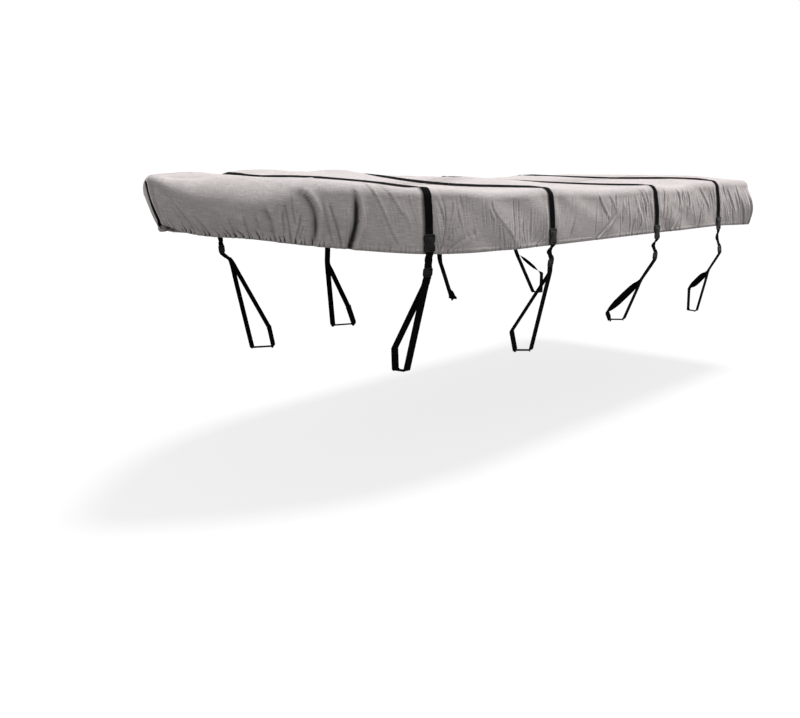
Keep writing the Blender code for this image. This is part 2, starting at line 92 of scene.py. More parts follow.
# soft swellings and hollows of the top, the last four under the straps: x, y, long, wide, height
swells = (
    (-2.800, -0.70, 0.32, 0.30, 0.038),
    (-2.000, -1.00, 0.30, 0.30, -0.038),
    (-2.200, 0.75, 0.40, 0.40, -0.068),
    (-1.660, 0.85, 0.22, 0.45, 0.032),
    (-1.300, -0.60, 0.55, 0.60, -0.047),
    (-1.200, 0.75, 0.60, 0.50, 0.076),
    (-0.850, 0.80, 0.18, 0.38, 0.027),
    (0.100, 0.35, 0.35, 0.40, -0.032),
    (0.300, -0.70, 0.60, 0.50, -0.044),
    (1.850, 0.60, 0.40, 0.55, 0.061),
    (1.850, -0.70, 0.40, 0.50, 0.059),
    (2.100, -1.05, 0.35, 0.30, 0.050),
    (2.950, 0.75, 0.34, 0.50, -0.060),
    (3.000, -0.60, 0.35, 0.50, 0.019),
    (-1.953, 0.10, 0.20, 0.90, 0.020),
    (-0.580, -0.10, 0.26, 0.80, -0.037),
    (1.187, -0.10, 0.28, 0.80, 0.001),
    (2.559, 0.05, 0.28, 0.70, -0.029),
)

webbing = {
    "width": 0.064,
    "thick": 0.0026,
    "gap": 0.0022,
    "standOff": 0.007,       # a taut strap bridges the hollow of the wall
    "proud": 0.0022,         # how far a strap stands off the top, over what it bridges
    "bridge": 0.0030,
    "tilt": 0.009,           # the cloth has crept aft and piled up under a strap's stern edge
    "swell": 0.0045,         # the cloth stands up beside each edge of a strap
    "swellOff": 0.075,
    "swellLong": 0.030,
    "strapShadow": 0.022,         # how wide the painted shadow is on the cloth along a strap's bow side
    "flat": 0.045,           # half width of the cloth that a strap holds flat
    "freeing": 0.05,         # and how far past it the folds come back
    "slack": 0.12,           # the share of a fold that still shows under a strap
    "pileFrom": 0.03,
    "pileLong": 0.11,
    "layerGap": 0.0055,
    "railWidth": 0.10,
    "endRun": 0.016,
}

stemFold = {"off": 0.030, "wide": 0.016, "deep": 0.010}   # the hollow beside the stem's seam, on port alone

# name, x, buckle height, then how far its link strap bows in
strapPlaces = (
    ("a", -1.953, -0.345, 0.004),
    ("b", -0.580, -0.398, 0.026),
    ("c", 1.187, -0.500, 0.030),
    ("d", 2.559, -0.520, 0.020),
)
strapXs = np.array([place[1] for place in strapPlaces])


def smooth(value):
    value = np.clip(value, 0.0, 1.0)
    return value * value * (3.0 - 2.0 * value)


def along(column, x):
    # smooth curve through one column of the sections
    places, values = sections[:, 0], sections[:, column]
    x = np.clip(x, places[0], places[-1])
    i = np.clip(np.searchsorted(places, x, side="right") - 1, 0, len(places) - 2)
    last = len(places) - 1
    low, high = np.maximum(np.arange(last + 1) - 1, 0), np.minimum(np.arange(last + 1) + 1, last)
    slopes = (values[high] - values[low]) / (places[high] - places[low])
    span = places[i + 1] - places[i]
    t = (x - places[i]) / span
    return (
        values[i] * (2 * t**3 - 3 * t**2 + 1)
        + values[i + 1] * (3 * t**2 - 2 * t**3)
        + slopes[i] * span * (t**3 - 2 * t**2 + t)
        + slopes[i + 1] * span * (t**3 - t**2)
    )


def halfWidth(x):
    share = np.clip(1.0 - (x - coverSize["bow"]) / coverSize["noseLength"], 0.0, 1.0)
    taper = 1.0 - coverSize["sternTaper"] * smooth((x - 1.0) / (coverSize["stern"] - 1.0))
    full = (1.0 - share ** coverSize["noseFullness"]) ** coverSize["nosePoint"]
    return coverSize["halfWidth"] * full * taper


def topHeight(x, y):
    flat = np.maximum(halfWidth(x) - along(shoulderColumn, x), 0.05)
    share = np.minimum(np.abs(y) / flat, 1.0)
    z = along(topColumn, x) - along(dropColumn, x) * share ** coverSize["topPower"]
    for placeX, placeY, long, wide, height in swells:
        z = z + height * np.exp(-(((x - placeX) / long) ** 2) - ((y - placeY) / wide) ** 2)
    return z


def halfOutline():
    # the top's outline in plan, stem to the middle of the transom, with its length along
    fine = 4000
    last = coverSize["stern"] - coverSize["sternRadius"]
    x = coverSize["bow"] + (last - coverSize["bow"]) * np.linspace(0.0, 1.0, fine) ** 2
    y = halfWidth(x)
    wide = float(halfWidth(np.array(coverSize["stern"])))
    turn = np.linspace(0.0, math.pi / 2, 120)
    cornerX = last + coverSize["sternRadius"] * np.sin(turn)
    cornerY = wide - coverSize["sternRadius"] * (1.0 - np.cos(turn))
    transomY = np.linspace(wide - coverSize["sternRadius"], 0.0, 300)[1:]
    x = np.concatenate((x, cornerX[1:], np.full(len(transomY), coverSize["stern"])))
    y = np.concatenate((y, cornerY[1:], transomY))
    run = np.concatenate(([0.0], np.cumsum(np.hypot(np.diff(x), np.diff(y)))))
    return x, y, run


outlineX, outlineY, outlineRun = halfOutline()
sideEnd = np.searchsorted(outlineX, coverSize["stern"] - 1e-6)
girthHalf = outlineRun[-1]


def runAt(x):
    return np.interp(x, outlineX[:sideEnd], outlineRun[:sideEnd])


def outlinePoint(run):
    # plan place and level outward direction, on the side where y is positive
    x, y = np.interp(run, outlineRun, outlineX), np.interp(run, outlineRun, outlineY)
    step = 0.012
    ahead, behind = np.minimum(run + step, girthHalf), np.maximum(run - step, 0.0)
    alongX = np.interp(ahead, outlineRun, outlineX) - np.interp(behind, outlineRun, outlineX)
    alongY = np.interp(ahead, outlineRun, outlineY) - np.interp(behind, outlineRun, outlineY)
    # at the two ends the other half mirrors this one
    alongX = np.where((run < step) | (run > girthHalf - step),
                      alongX * np.clip(np.minimum(run, girthHalf - run) / step, 0, 1), alongX)
    size = np.hypot(alongX, alongY)
    return x, y, -alongY / size, alongX / size


# Creases of the side, each a line of (x, share of the wall's height) from its top to its foot, then how far
# the ridge stands out, how deep the trough beside it is, its half width, and which side the trough is on
# (-1 bow, 1 stern)
portCreases = (
    (((-3.46, 0.61), (-3.43, 0.37), (-3.40, 0.00)), 0.011, 0.008, 0.026, -1),
    (((-3.45, 0.72), (-3.40, 0.39), (-3.36, 0.00)), 0.012, 0.010, 0.024, -1),
    (((-3.41, 0.56), (-3.37, 0.27), (-3.33, 0.00)), 0.012, 0.011, 0.022, -1),
    (((-3.36, 0.48), (-3.32, 0.22), (-3.29, 0.00)), 0.011, 0.008, 0.020, -1),
    (((-3.26, 0.26), (-3.23, 0.00)), 0.007, 0.007, 0.012, -1),
    (((-3.18, 0.22), (-3.17, 0.00)), 0.005, 0.006, 0.012, -1),
    (((-3.06, 0.80), (-3.05, 0.55), (-3.03, 0.20)), 0.012, 0.008, 0.040, -1),
    (((-3.01, 0.98), (-2.98, 0.62), (-2.96, 0.25), (-2.95, 0.0)), 0.018, 0.012, 0.040, -1),
    (((-3.00, 0.35), (-2.97, 0.15), (-2.92, 0.00)), 0.008, 0.005, 0.015, 1),
    (((-3.22, 0.55), (-3.20, 0.30), (-3.18, 0.00)), 0.010, 0.006, 0.034, 1),
    (((-3.14, 0.72), (-3.13, 0.40), (-3.10, 0.00)), 0.012, 0.007, 0.036, 1),
    (((-2.93, 0.80), (-2.93, 0.45), (-2.91, 0.05)), 0.010, 0.006, 0.034, 1),
    (((-2.83, 0.62), (-2.84, 0.35), (-2.86, 0.00)), 0.009, 0.008, 0.030, 1),
    (((-2.91, 0.95), (-2.89, 0.57), (-2.87, 0.00)), 0.004, 0.016, 0.014, -1),
    (((-2.87, 1.07), (-2.86, 0.74), (-2.84, 0.36)), 0.004, 0.009, 0.017, -1),
    (((-2.80, 0.37), (-2.81, 0.18), (-2.83, 0.00)), 0.005, 0.010, 0.015, -1),
    (((-2.84, 1.20), (-2.80, 1.10), (-2.75, 0.85), (-2.71, 0.43), (-2.72, 0.0)), 0.022, 0.030, 0.040, -1),
    (((-2.68, 0.85), (-2.65, 0.42), (-2.61, 0.00)), 0.013, 0.008, 0.030, -1),
    (((-2.64, 0.78), (-2.59, 0.35), (-2.56, 0.00)), 0.004, 0.018, 0.026, -1),
    (((-2.50, 1.22), (-2.455, 0.87), (-2.455, 0.42), (-2.49, 0.00)), 0.024, 0.062, 0.040, -1),
    (((-2.54, 0.70), (-2.535, 0.27), (-2.54, 0.00)), 0.010, 0.000, 0.014, -1),
    (((-2.43, 1.32), (-2.37, 1.10), (-2.30, 0.74), (-2.25, 0.43), (-2.18, 0.09)), 0.013, 0.006, 0.017, -1),
    (((-2.36, 1.30), (-2.29, 1.15), (-2.21, 0.95), (-2.16, 0.69), (-2.11, 0.59)), 0.010, 0.006, 0.017, -1),
    (((-2.31, 1.27), (-2.27, 1.19), (-2.23, 1.08)), 0.006, 0.004, 0.014, -1),
    (((-1.91, 0.55), (-1.90, 0.45), (-1.86, 0.00)), 0.008, 0.005, 0.014, -1),
    (((-1.88, 1.00), (-1.82, 0.64), (-1.81, 0.43)), 0.004, 0.009, 0.016, -1),
    (((-1.82, 1.00), (-1.80, 0.75), (-1.80, 0.43), (-1.85, 0.00)), 0.004, 0.013, 0.015, -1),
    (((-1.72, 0.94), (-1.73, 0.72), (-1.78, 0.37), (-1.82, 0.05)), 0.010, 0.006, 0.015, -1),
    (((-1.65, 1.05), (-1.64, 0.92), (-1.63, 0.82)), 0.006, 0.006, 0.014, -1),
    (((-1.64, 0.52), (-1.74, 0.33), (-1.83, 0.05)), 0.007, 0.011, 0.015, -1),
    (((-1.44, 0.40), (-1.56, 0.30), (-1.77, 0.01)), 0.007, 0.014, 0.015, -1),
    (((-1.32, 1.01), (-1.26, 0.62), (-1.12, 0.26), (-1.09, 0.05)), 0.011, 0.006, 0.016, -1),
    (((-1.39, 0.98), (-1.35, 0.72), (-1.31, 0.55)), 0.006, 0.004, 0.017, -1),
    (((-1.07, 1.02), (-1.08, 0.56), (-1.09, 0.05)), 0.004, 0.011, 0.013, -1),
    (((-1.01, 1.00), (-1.02, 0.58), (-1.03, 0.14)), 0.003, 0.008, 0.013, -1),
    (((-0.95, 0.72), (-0.97, 0.39), (-1.00, 0.03)), 0.003, 0.007, 0.013, -1),
    (((-0.79, 0.33), (-0.86, 0.16), (-0.93, 0.00)), 0.007, 0.007, 0.015, -1),
    (((-0.66, 0.22), (-0.72, 0.10), (-0.78, 0.00)), 0.006, 0.009, 0.015, -1),
    (((-0.42, 0.60), (-0.49, 0.50), (-0.55, 0.39)), 0.006, 0.011, 0.018, -1),
    (((-0.41, 0.37), (-0.47, 0.26), (-0.54, 0.16)), 0.008, 0.008, 0.018, -1),
    (((-0.21, 0.51), (-0.25, 0.33), (-0.30, 0.10)), 0.008, 0.007, 0.024, -1),
    (((0.17, 1.11), (0.28, 0.64), (0.34, 0.45)), 0.012, 0.006, 0.020, -1),
    (((0.51, 0.64), (0.32, 0.30), (0.13, 0.00)), 0.010, 0.012, 0.020, -1),
    (((0.44, 0.48), (0.33, 0.22), (0.24, 0.00)), 0.010, 0.006, 0.018, 1),
    (((0.36, 1.05), (0.42, 0.80), (0.47, 0.60)), 0.008, 0.005, 0.020, -1),
    (((0.59, 0.86), (0.57, 0.58), (0.56, 0.37)), 0.009, 0.007, 0.018, -1),
    (((0.90, 1.15), (0.99, 0.73), (0.98, 0.34)), 0.011, 0.007, 0.018, -1),
    (((0.97, 1.14), (1.02, 0.95), (1.06, 0.72)), 0.009, 0.006, 0.016, -1),
    (((0.82, 0.66), (0.89, 0.42), (0.83, 0.00)), 0.012, 0.007, 0.018, -1),
    (((0.77, 0.37), (0.75, 0.18), (0.74, 0.00)), 0.012, 0.012, 0.014, -1),
    (((0.70, 0.35), (0.69, 0.17), (0.68, 0.00)), 0.009, 0.007, 0.014, -1),
    (((1.38, 1.12), (1.36, 0.69), (1.32, 0.32)), 0.006, 0.016, 0.018, -1),
    (((1.43, 0.68), (1.41, 0.34), (1.38, 0.00)), 0.011, 0.007, 0.018, 1),
    (((1.50, 0.63), (1.48, 0.42), (1.45, 0.00)), 0.006, 0.011, 0.016, -1),
    (((1.65, 1.13), (1.70, 0.84), (1.58, 0.23), (1.49, 0.00)), 0.013, 0.009, 0.022, -1),
    (((1.74, 0.64), (1.67, 0.30), (1.60, 0.00)), 0.010, 0.009, 0.020, -1),
    (((1.86, 1.05), (1.90, 0.70), (1.84, 0.35)), 0.007, 0.005, 0.026, -1),
    (((2.15, 1.05), (2.29, 0.65), (2.33, 0.50)), 0.013, 0.007, 0.022, -1),
    (((2.09, 0.68), (2.20, 0.20), (2.14, 0.00)), 0.007, 0.006, 0.022, 1),
    (((2.15, 0.42), (2.13, 0.18), (2.12, 0.00)), 0.007, 0.018, 0.017, -1),
    (((2.36, 1.02), (2.42, 0.78), (2.45, 0.60)), 0.008, 0.006, 0.018, -1),
    (((2.83, 0.95), (2.91, 0.58), (2.98, 0.24)), 0.014, 0.008, 0.024, -1),
    (((2.72, 1.10), (2.76, 0.80), (2.80, 0.52)), 0.008, 0.006, 0.020, -1),
    (((3.04, 1.05), (3.07, 0.80), (3.10, 0.50)), 0.009, 0.007, 0.022, -1),
    (((3.12, 0.62), (3.20, 0.20), (3.24, 0.00)), 0.014, 0.012, 0.022, -1),
    (((3.31, 0.80), (3.35, 0.40), (3.37, 0.00)), 0.014, 0.012, 0.026, -1),
)
starboardCreases = (
    (((-3.44, 0.55), (-3.40, 0.25), (-3.37, 0.00)), 0.008, 0.006, 0.014, -1),
    (((-3.35, 0.46), (-3.32, 0.22), (-3.30, 0.00)), 0.007, 0.007, 0.013, 1),
    (((-3.24, 0.34), (-3.20, 0.00)), 0.006, 0.006, 0.013, -1),
    (((-3.10, 0.86), (-3.08, 0.45), (-3.07, 0.00)), 0.014, 0.010, 0.032, -1),
    (((-2.94, 0.60), (-2.91, 0.30), (-2.93, 0.00)), 0.006, 0.012, 0.018, -1),
    (((-2.88, 1.24), (-2.82, 0.90), (-2.78, 0.42), (-2.80, 0.00)), 0.022, 0.026, 0.038, -1),
    (((-2.66, 0.72), (-2.62, 0.30), (-2.60, 0.00)), 0.011, 0.012, 0.028, -1),
    (((-2.46, 1.26), (-2.44, 0.80), (-2.50, 0.35), (-2.54, 0.00)), 0.024, 0.036, 0.038, -1),
    (((-2.33, 1.22), (-2.26, 0.80), (-2.20, 0.40), (-2.15, 0.12)), 0.014, 0.007, 0.020, -1),
    (((-1.80, 0.98), (-1.79, 0.55), (-1.84, 0.05)), 0.005, 0.012, 0.017, -1),
    (((-1.66, 0.92), (-1.70, 0.50), (-1.80, 0.08)), 0.010, 0.006, 0.018, -1),
    (((-1.50, 0.44), (-1.62, 0.26), (-1.76, 0.02)), 0.008, 0.012, 0.018, -1),
    (((-1.30, 1.02), (-1.24, 0.60), (-1.15, 0.20)), 0.012, 0.007, 0.020, -1),
    (((-0.92, 0.95), (-0.92, 0.50), (-0.95, 0.02)), 0.005, 0.011, 0.018, -1),
    (((-0.74, 0.40), (-0.80, 0.20), (-0.88, 0.00)), 0.008, 0.008, 0.018, -1),
    (((-0.34, 0.66), (-0.42, 0.40), (-0.50, 0.20)), 0.009, 0.009, 0.020, -1),
    (((-0.12, 0.90), (-0.14, 0.48), (-0.20, 0.00)), 0.011, 0.009, 0.028, -1),
    (((0.42, 1.08), (0.44, 0.60), (0.34, 0.10)), 0.012, 0.009, 0.024, -1),
    (((0.60, 0.70), (0.50, 0.36), (0.40, 0.00)), 0.010, 0.010, 0.022, -1),
    (((0.86, 1.10), (0.95, 0.60), (0.92, 0.05)), 0.013, 0.008, 0.022, -1),
    (((1.50, 1.08), (1.56, 0.60), (1.50, 0.00)), 0.010, 0.013, 0.022, -1),
    (((1.72, 0.86), (1.70, 0.44), (1.62, 0.00)), 0.011, 0.008, 0.024, -1),
    (((2.02, 1.02), (2.12, 0.56), (2.14, 0.02)), 0.012, 0.011, 0.024, -1),
    (((2.34, 0.92), (2.40, 0.60), (2.42, 0.30)), 0.009, 0.007, 0.020, -1),
    (((2.84, 1.02), (2.92, 0.56), (2.95, 0.10)), 0.013, 0.009, 0.026, -1),
    (((3.16, 0.92), (3.20, 0.45), (3.22, 0.00)), 0.013, 0.011, 0.026, -1),
)
# on the transom the first number is the distance from the centreline
transomCreases = {
    "port": (
        (((0.96, 0.90), (0.93, 0.45), (0.90, 0.00)), 0.014, 0.014, 0.034, -1),
        (((0.66, 0.70), (0.72, 0.35), (0.76, 0.00)), 0.009, 0.007, 0.028, 1),
        (((0.42, 0.95), (0.35, 0.50), (0.33, 0.00)), 0.013, 0.009, 0.036, -1),
        (((0.14, 0.50), (0.18, 0.22), (0.17, 0.00)), 0.008, 0.008, 0.026, 1),
    ),
    "starboard": (
        (((0.90, 0.95), (0.95, 0.45), (0.96, 0.00)), 0.015, 0.011, 0.034, 1),
        (((0.58, 0.62), (0.54, 0.30), (0.55, 0.00)), 0.009, 0.009, 0.028, -1),
        (((0.28, 0.90), (0.34, 0.50), (0.38, 0.00)), 0.012, 0.012, 0.036, 1),
    ),
}

gathers = {
    "seed": 41,
    "pitch": (0.018, 0.056),
    "height": (0.0020, 0.0100),
    "halfWidth": (0.0070, 0.0130),
    # how far the top of a gather leans to the bow, along x
    "lean": ((-3.54, -0.22), (-3.20, -0.15), (-2.60, 0.0), (3.54, 0.0)),
    "reach": (0.08, 0.26),   # share of the wall's height
    # how strong the gathers are along x
    "strength": ((-3.54, 0.5), (-3.42, 1.0), (-3.30, 1.7), (-2.98, 1.6), (-2.75, 0.8), (-2.45, 0.30),
                 (-1.30, 0.20), (-1.08, 0.75), (-0.92, 0.20), (0.50, 0.30), (0.78, 0.60), (1.10, 0.25),
                 (1.42, 0.70), (1.75, 0.30), (2.80, 0.25), (3.15, 0.70), (3.54, 0.60)),
    "transom": 0.45,         # and across the transom
    "blackAt": 0.0045,       # a valley this deep lets no light in
    "wobble": 0.0032,
    "topWobble": 0.0030,
}


# thin pulls between the larger creases: how many, between which x, and how far they lean aft to the foot
pulls = {
    "seed": 17,
    "fields": ((7, -2.42, -2.05, 0.10), (12, -1.86, -1.20, 0.05), (12, -1.12, -0.66, 0.00),
               (6, -0.50, -0.10, -0.10), (16, 0.10, 0.80, -0.05), (16, 0.80, 1.13, 0.10),
               (16, 1.27, 1.85, -0.08), (9, 1.85, 2.48, 0.10), (16, 2.66, 3.34, 0.12)),
    "ridge": (0.0030, 0.0062),
    "trough": (0.0010, 0.0040),
    "halfWidth": (0.017, 0.028),
    "top": (0.45, 1.12),
    "long": (0.22, 0.70),
}


def finePulls(name):
    draw = np.random.default_rng(pulls["seed"] + len(name))
    found = []
    for count, fromX, toX, lean in pulls["fields"]:
        for place in np.linspace(fromX, toX, count):
            top = draw.uniform(*pulls["top"])
            foot = max(top - draw.uniform(*pulls["long"]), 0.0)
            x = place + draw.uniform(-0.4, 0.4) * (toX - fromX) / count
            reach = (lean + draw.uniform(-0.05, 0.05)) * (top - foot)
            line = ((x - reach / 2, top), (x + draw.uniform(-0.008, 0.008), (top + foot) / 2),
                    (x + reach / 2, foot))
            found.append((line, draw.uniform(*pulls["ridge"]), draw.uniform(*pulls["trough"]),
                          draw.uniform(*pulls["halfWidth"]) * (1.0 + 0.12 * x), int(draw.choice((-1, 1, 1)))))
    return tuple(found)


def creasePath(crease, onTransom):
    # the crease's line as a curve: its place along the girth for a share of the wall's height
    places = np.array([point[0] for point in crease[0]])
    heights = np.array([point[1] for point in crease[0]])
    runs = girthHalf - places if onTransom else runAt(places)
    degree = min(len(runs) - 1, 3)
    return np.polynomial.Polynomial.fit(heights, runs, degree), heights.max(), heights.min()


def creaseDepth(run, high, creases, onTransom, wallHigh):
    # each crease rises in a steep face from its trough to its ridge, and falls away gently behind
    depth = np.zeros(np.broadcast(run, high).shape)
    for crease in creases:
        path, top, foot = creasePath(crease, onTransom)
        _, ridge, trough, wide, side = crease
        deep = max(ridge + trough - 0.02, 0.0)
        wide = (0.44 + min(9.0 * deep, 0.22)) * wide
        inside = np.clip(high, foot, top)
        lean = path.deriv()(inside) / wallHigh
        off = -side * (run - path(inside)) / np.sqrt(1.0 + lean**2)
        fade = smooth((top - high) / (0.16 + 8.0 * deep) + 0.35 - 5.0 * deep)
        if foot > 0.01:
            fade = fade * smooth((high - foot) / 0.16 + 0.35)
        steepness = 1.3 + 80.0 * deep
        face = (ridge + trough) / (2.0 * steepness)
        rise = 0.5 + 0.5 * np.tanh((off + 0.35 * wide) / face)
        crest = np.exp(-((np.maximum(off, 0.0) / (1.4 * wide)) ** 2))
        hollow = np.exp(-((np.minimum(off + 0.35 * wide, 0.0) / (1.5 * wide)) ** 2))
        depth = depth + fade * (ridge * rise * crest - trough * (1.0 - rise) * hollow)
    return depth


def gatherDepth(run, high, name):
    draw = np.random.default_rng(gathers["seed"] + len(name))
    depth = np.zeros(np.broadcast(run, high).shape)
    places, strengths = np.array(gathers["strength"]).T
    at = 0.03
    while at < girthHalf:
        x = np.interp(at, outlineRun, outlineX)
        strong = np.interp(x, places, strengths) if at < outlineRun[sideEnd] else gathers["transom"]
        height = draw.uniform(*gathers["height"]) * strong
        wide = draw.uniform(*gathers["halfWidth"])
        reach = draw.uniform(*gathers["reach"]) * (0.6 + 0.5 * strong)
        lean = draw.uniform(-0.09, 0.09) + np.interp(x, *np.array(gathers["lean"]).T)
        fade = np.clip(1.0 - high / reach, 0.0, 1.0) ** 1.6
        off = (run - at - lean * high) / (wide * (1.0 + np.clip(high, 0.0, 1.0) * 3.0))
        depth = depth + height * fade * (np.exp(-(off**2)) - 0.9 * np.exp(-(((off + 1.3) / 0.6) ** 2)))
        at += draw.uniform(*gathers["pitch"])
    return depth


def wobbleAt(run, high, name):
    # slow unevenness of a cloth that nothing stretches evenly
    draw = np.random.default_rng(gathers["seed"] + 7 * len(name))
    total = 0.0
    for _ in range(9):
        long, tall = draw.uniform(0.16, 0.70), draw.uniform(0.5, 1.6)
        start = draw.uniform(0, 2 * math.pi)
        total = total + np.sin(run * 2 * math.pi / long + high * 2 * math.pi / tall + start)
    return total / 3.0


hemTurns = ((0.042, 0.012), (0.026, -0.003), (0.012, -0.006), (0.002, 0.002))
hemRound = 0.012
wallSteps = (0.0, 0.018, 0.036, 0.054, 0.072, 0.092, 0.118, 0.150, 0.19, 0.235, 0.285, 0.34, 0.395, 0.45,
             0.505, 0.56, 0.615, 0.67, 0.725, 0.78, 0.835, 0.89, 0.945, 1.0)
shoulderTurns = np.radians((13, 26, 39, 52, 65, 78, 90))
topSteps = (0.05, 0.13, 0.24, 0.38, 0.55, 0.76, 1.0)


def spinePlace(x, y):
    nose, tail = -2.55, 2.85
    wide = float(halfWidth(np.array(coverSize["stern"])))
    way = (x - tail) + (wide - np.abs(y))
    aft = tail + 0.30 * way / (coverSize["stern"] - tail + wide)
    return np.where(x < nose, nose + (x - nose) * 0.52, np.where(x > tail, aft, x))


def besideStraps(x, places):
    # the cloth's swelling along both edges of each strap
    off = np.abs(np.subtract.outer(x, places)).min(axis=-1)
    return webbing["swell"] * np.exp(-(((off - webbing["swellOff"]) / webbing["swellLong"]) ** 2))


def behindStraps(x):
    # the cloth that a strap leans on, across the top
    off = np.subtract.outer(x, strapXs)
    past = np.maximum(off - webbing["pileFrom"], 0.0) / webbing["pileLong"]
    pile = smooth((off + webbing["width"] / 2) / webbing["width"]) * np.exp(-(past ** 2))
    return webbing["tilt"] * pile.max(axis=-1)


def coverSurface(run, name, flat=False):
    # points[column, row] of one half of the cover, hem to centreline, with the depth of its folds
    sign = -1.0 if name == "port" else 1.0
    creases = (portCreases if name == "port" else starboardCreases) + finePulls(name)
    x, y, outX, outY = outlinePoint(run)
    radius = along(shoulderColumn, x)
    innerX, innerY = x - outX * radius, np.maximum(y - outY * radius, 0.0)
    edgeZ = topHeight(innerX, sign * innerY)
    hemZ = along(hemColumn, x)
    rake, flare = coverSize["stemRake"], coverSize["hemFlare"]
    lean = rake + (flare - rake) * smooth((x - coverSize["bow"]) / coverSize["rakeRun"])
    least, most = coverSize["wallBulge"], coverSize["sternBulge"]
    bulge = least + (most - least) * smooth((x - coverSize["bulgeFrom"]) / coverSize["bulgeRun"])
    wallTop = edgeZ - radius
    low = hemZ + hemRound
    wallHigh = wallTop - low

    steps = np.array([0.0] * len(hemTurns) + list(wallSteps))
    turnHigh = 1.0 + radius[:, None] * np.sin(shoulderTurns) / wallHigh[:, None]
    high = np.concatenate((np.broadcast_to(steps, (len(run), len(steps))), turnHigh), axis=1)
    valley = np.zeros(high.shape)
    if flat:
        fold = np.zeros(high.shape)
    else:
        wide = run[:, None]
        fold = creaseDepth(wide, high, creases, False, wallHigh[:, None])
        fold = fold + creaseDepth(wide, high, transomCreases[name], True, wallHigh[:, None])
        held = np.ones(len(run))
        for _, placeX, _, _ in strapPlaces:
            off = np.abs(run - runAt(placeX))
            freed = smooth((off - webbing["flat"]) / webbing["freeing"])
            held = held * (webbing["slack"] + (1.0 - webbing["slack"]) * freed)
        fold = fold * held[:, None]
        gathered = gatherDepth(wide, high, name) * held[:, None]
        valley = np.clip(-gathered / gathers["blackAt"], -1.0, 1.0)
        fold = fold + gathered
        fade = smooth((1.35 - high) / 0.4)
        fold = fold + gathers["wobble"] * wobbleAt(wide, high, name) * fade * held[:, None]
        fold = fold + besideStraps(run, runAt(strapXs))[:, None] * smooth(high / 0.3)
        stem = np.exp(-(((run - stemFold["off"]) / stemFold["wide"]) ** 2))
        if name == "port":
            fold = fold - stemFold["deep"] * stem[:, None] * smooth(high / 0.2) * smooth((1.1 - high) / 0.4)
    columns = []
    holdOff = coverSize["stemHold"]
    for k, (inward, height) in enumerate(hemTurns):
        push = lean - inward + fold[:, k]
        columns.append((x + outX * push, y + np.maximum(outY * push, -holdOff * y), hemZ + height))
    tunnel = coverSize["hemTunnel"]
    for k, share in enumerate(wallSteps):
        push = lean * (1.0 - share) + bulge * np.sin(np.pi * min(share * 1.05, 1.0))
        push = push + fold[:, len(hemTurns) + k]
        push = push + tunnel * math.cos(min(share / coverSize["tunnelHigh"], 1.0) * math.pi / 2)
        columns.append((x + outX * push, y + np.maximum(outY * push, -holdOff * y), low + wallHigh * share))
    first = len(hemTurns) + len(wallSteps)
    for k, turn in enumerate(shoulderTurns):
        depth = fold[:, first + k]
        push = -radius * (1.0 - math.cos(turn)) + depth * math.cos(turn)
        columns.append((x + outX * push, y + outY * push,
                        wallTop + radius * math.sin(turn) + depth * math.sin(turn) * 0.6))
    endX = spinePlace(x, y)
    lastDepth = fold[:, -1] * 0.6
    for share in topSteps:
        px, py = innerX + (endX - innerX) * share, innerY * (1.0 - share)
        pz = topHeight(px, sign * py) + lastDepth * max(1.0 - share / 0.16, 0.0)
        if not flat:
            ripple = wobbleAt(px * 0.55, py * 1.2, name + "top")
            calm = smooth((np.abs(np.subtract.outer(px, strapXs)).min(axis=-1) - 0.05) / 0.15)
            pz = pz + gathers["topWobble"] * ripple * min(share / 0.3, 1.0) * smooth(py / 0.25) * calm
            pz = pz + behindStraps(px) * min(share / 0.13, 1.0)
        columns.append((px, py, pz))
    points = np.stack([np.stack((px, py * sign, np.broadcast_to(pz, px.shape)), axis=-1)
                       for px, py, pz in columns], axis=1)
    level = np.zeros((len(run), len(topSteps)))
    return points, np.concatenate((fold, level), axis=1), np.concatenate((valley, level), axis=1)


def gridMesh(name, points):
    # quads over points[column, row], with a UV map in metres: u along the columns, v up the rows
    count, rows = points.shape[:2]
    index = np.arange(count * rows).reshape(count, rows)
    left, right = index[:-1], index[1:]
    quads = np.stack((left[:, :-1], right[:, :-1], right[:, 1:], left[:, 1:]), axis=-1).reshape(-1, 4)
    mesh = bpy.data.meshes.new(name)
    mesh.from_pydata(points.reshape(-1, 3).tolist(), [], quads.tolist())
    mesh.shade_smooth()
    return mesh, quads


def addUv(mesh, quads, u, v):
    layer = mesh.uv_layers.new(name="grain")
    corner = quads.reshape(-1)
    layer.data.foreach_set("uv", np.stack((u.reshape(-1)[corner], v.reshape(-1)[corner]),
                                          axis=-1).reshape(-1))


def linkObject(name, data):
    thing = bpy.data.objects.new(name, data)
    bpy.context.scene.collection.objects.link(thing)
    return thing


def placeObject(name, mesh, material):
    mesh.materials.clear()
    mesh.materials.append(material)
    return linkObject(name, mesh)


def plainMesh(thing):
    # what the object's modifiers and curves come to, as a mesh of its own
    bpy.context.view_layer.update()
    return bpy.data.meshes.new_from_object(thing.evaluated_get(bpy.context.evaluated_depsgraph_get()))


def thicken(thing, thick, offset):
    solid = thing.modifiers.new("Thickness", "SOLIDIFY")
    solid.thickness, solid.offset = thick, offset
    made = plainMesh(thing)
    thing.modifiers.clear()
    thing.data = made
    return thing


def linear(code):
    # sRGB hex to the linear colour that a shader takes
    parts = [int(code[i:i + 2], 16) / 255 for i in (0, 2, 4)]
    return tuple(p / 12.92 if p <= 0.04045 else ((p + 0.055) / 1.055) ** 2.4 for p in parts) + (1.0,)


def addNode(tree, kind, settings=None, links=None):
    node = tree.nodes.new(kind)
    for key, value in (settings or {}).items():
        if isinstance(key, int) or key in node.inputs:
            node.inputs[key].default_value = value
        else:
            setattr(node, key, value)
    for key, source in (links or {}).items():
        tree.links.new(source, node.inputs[key])
    return node


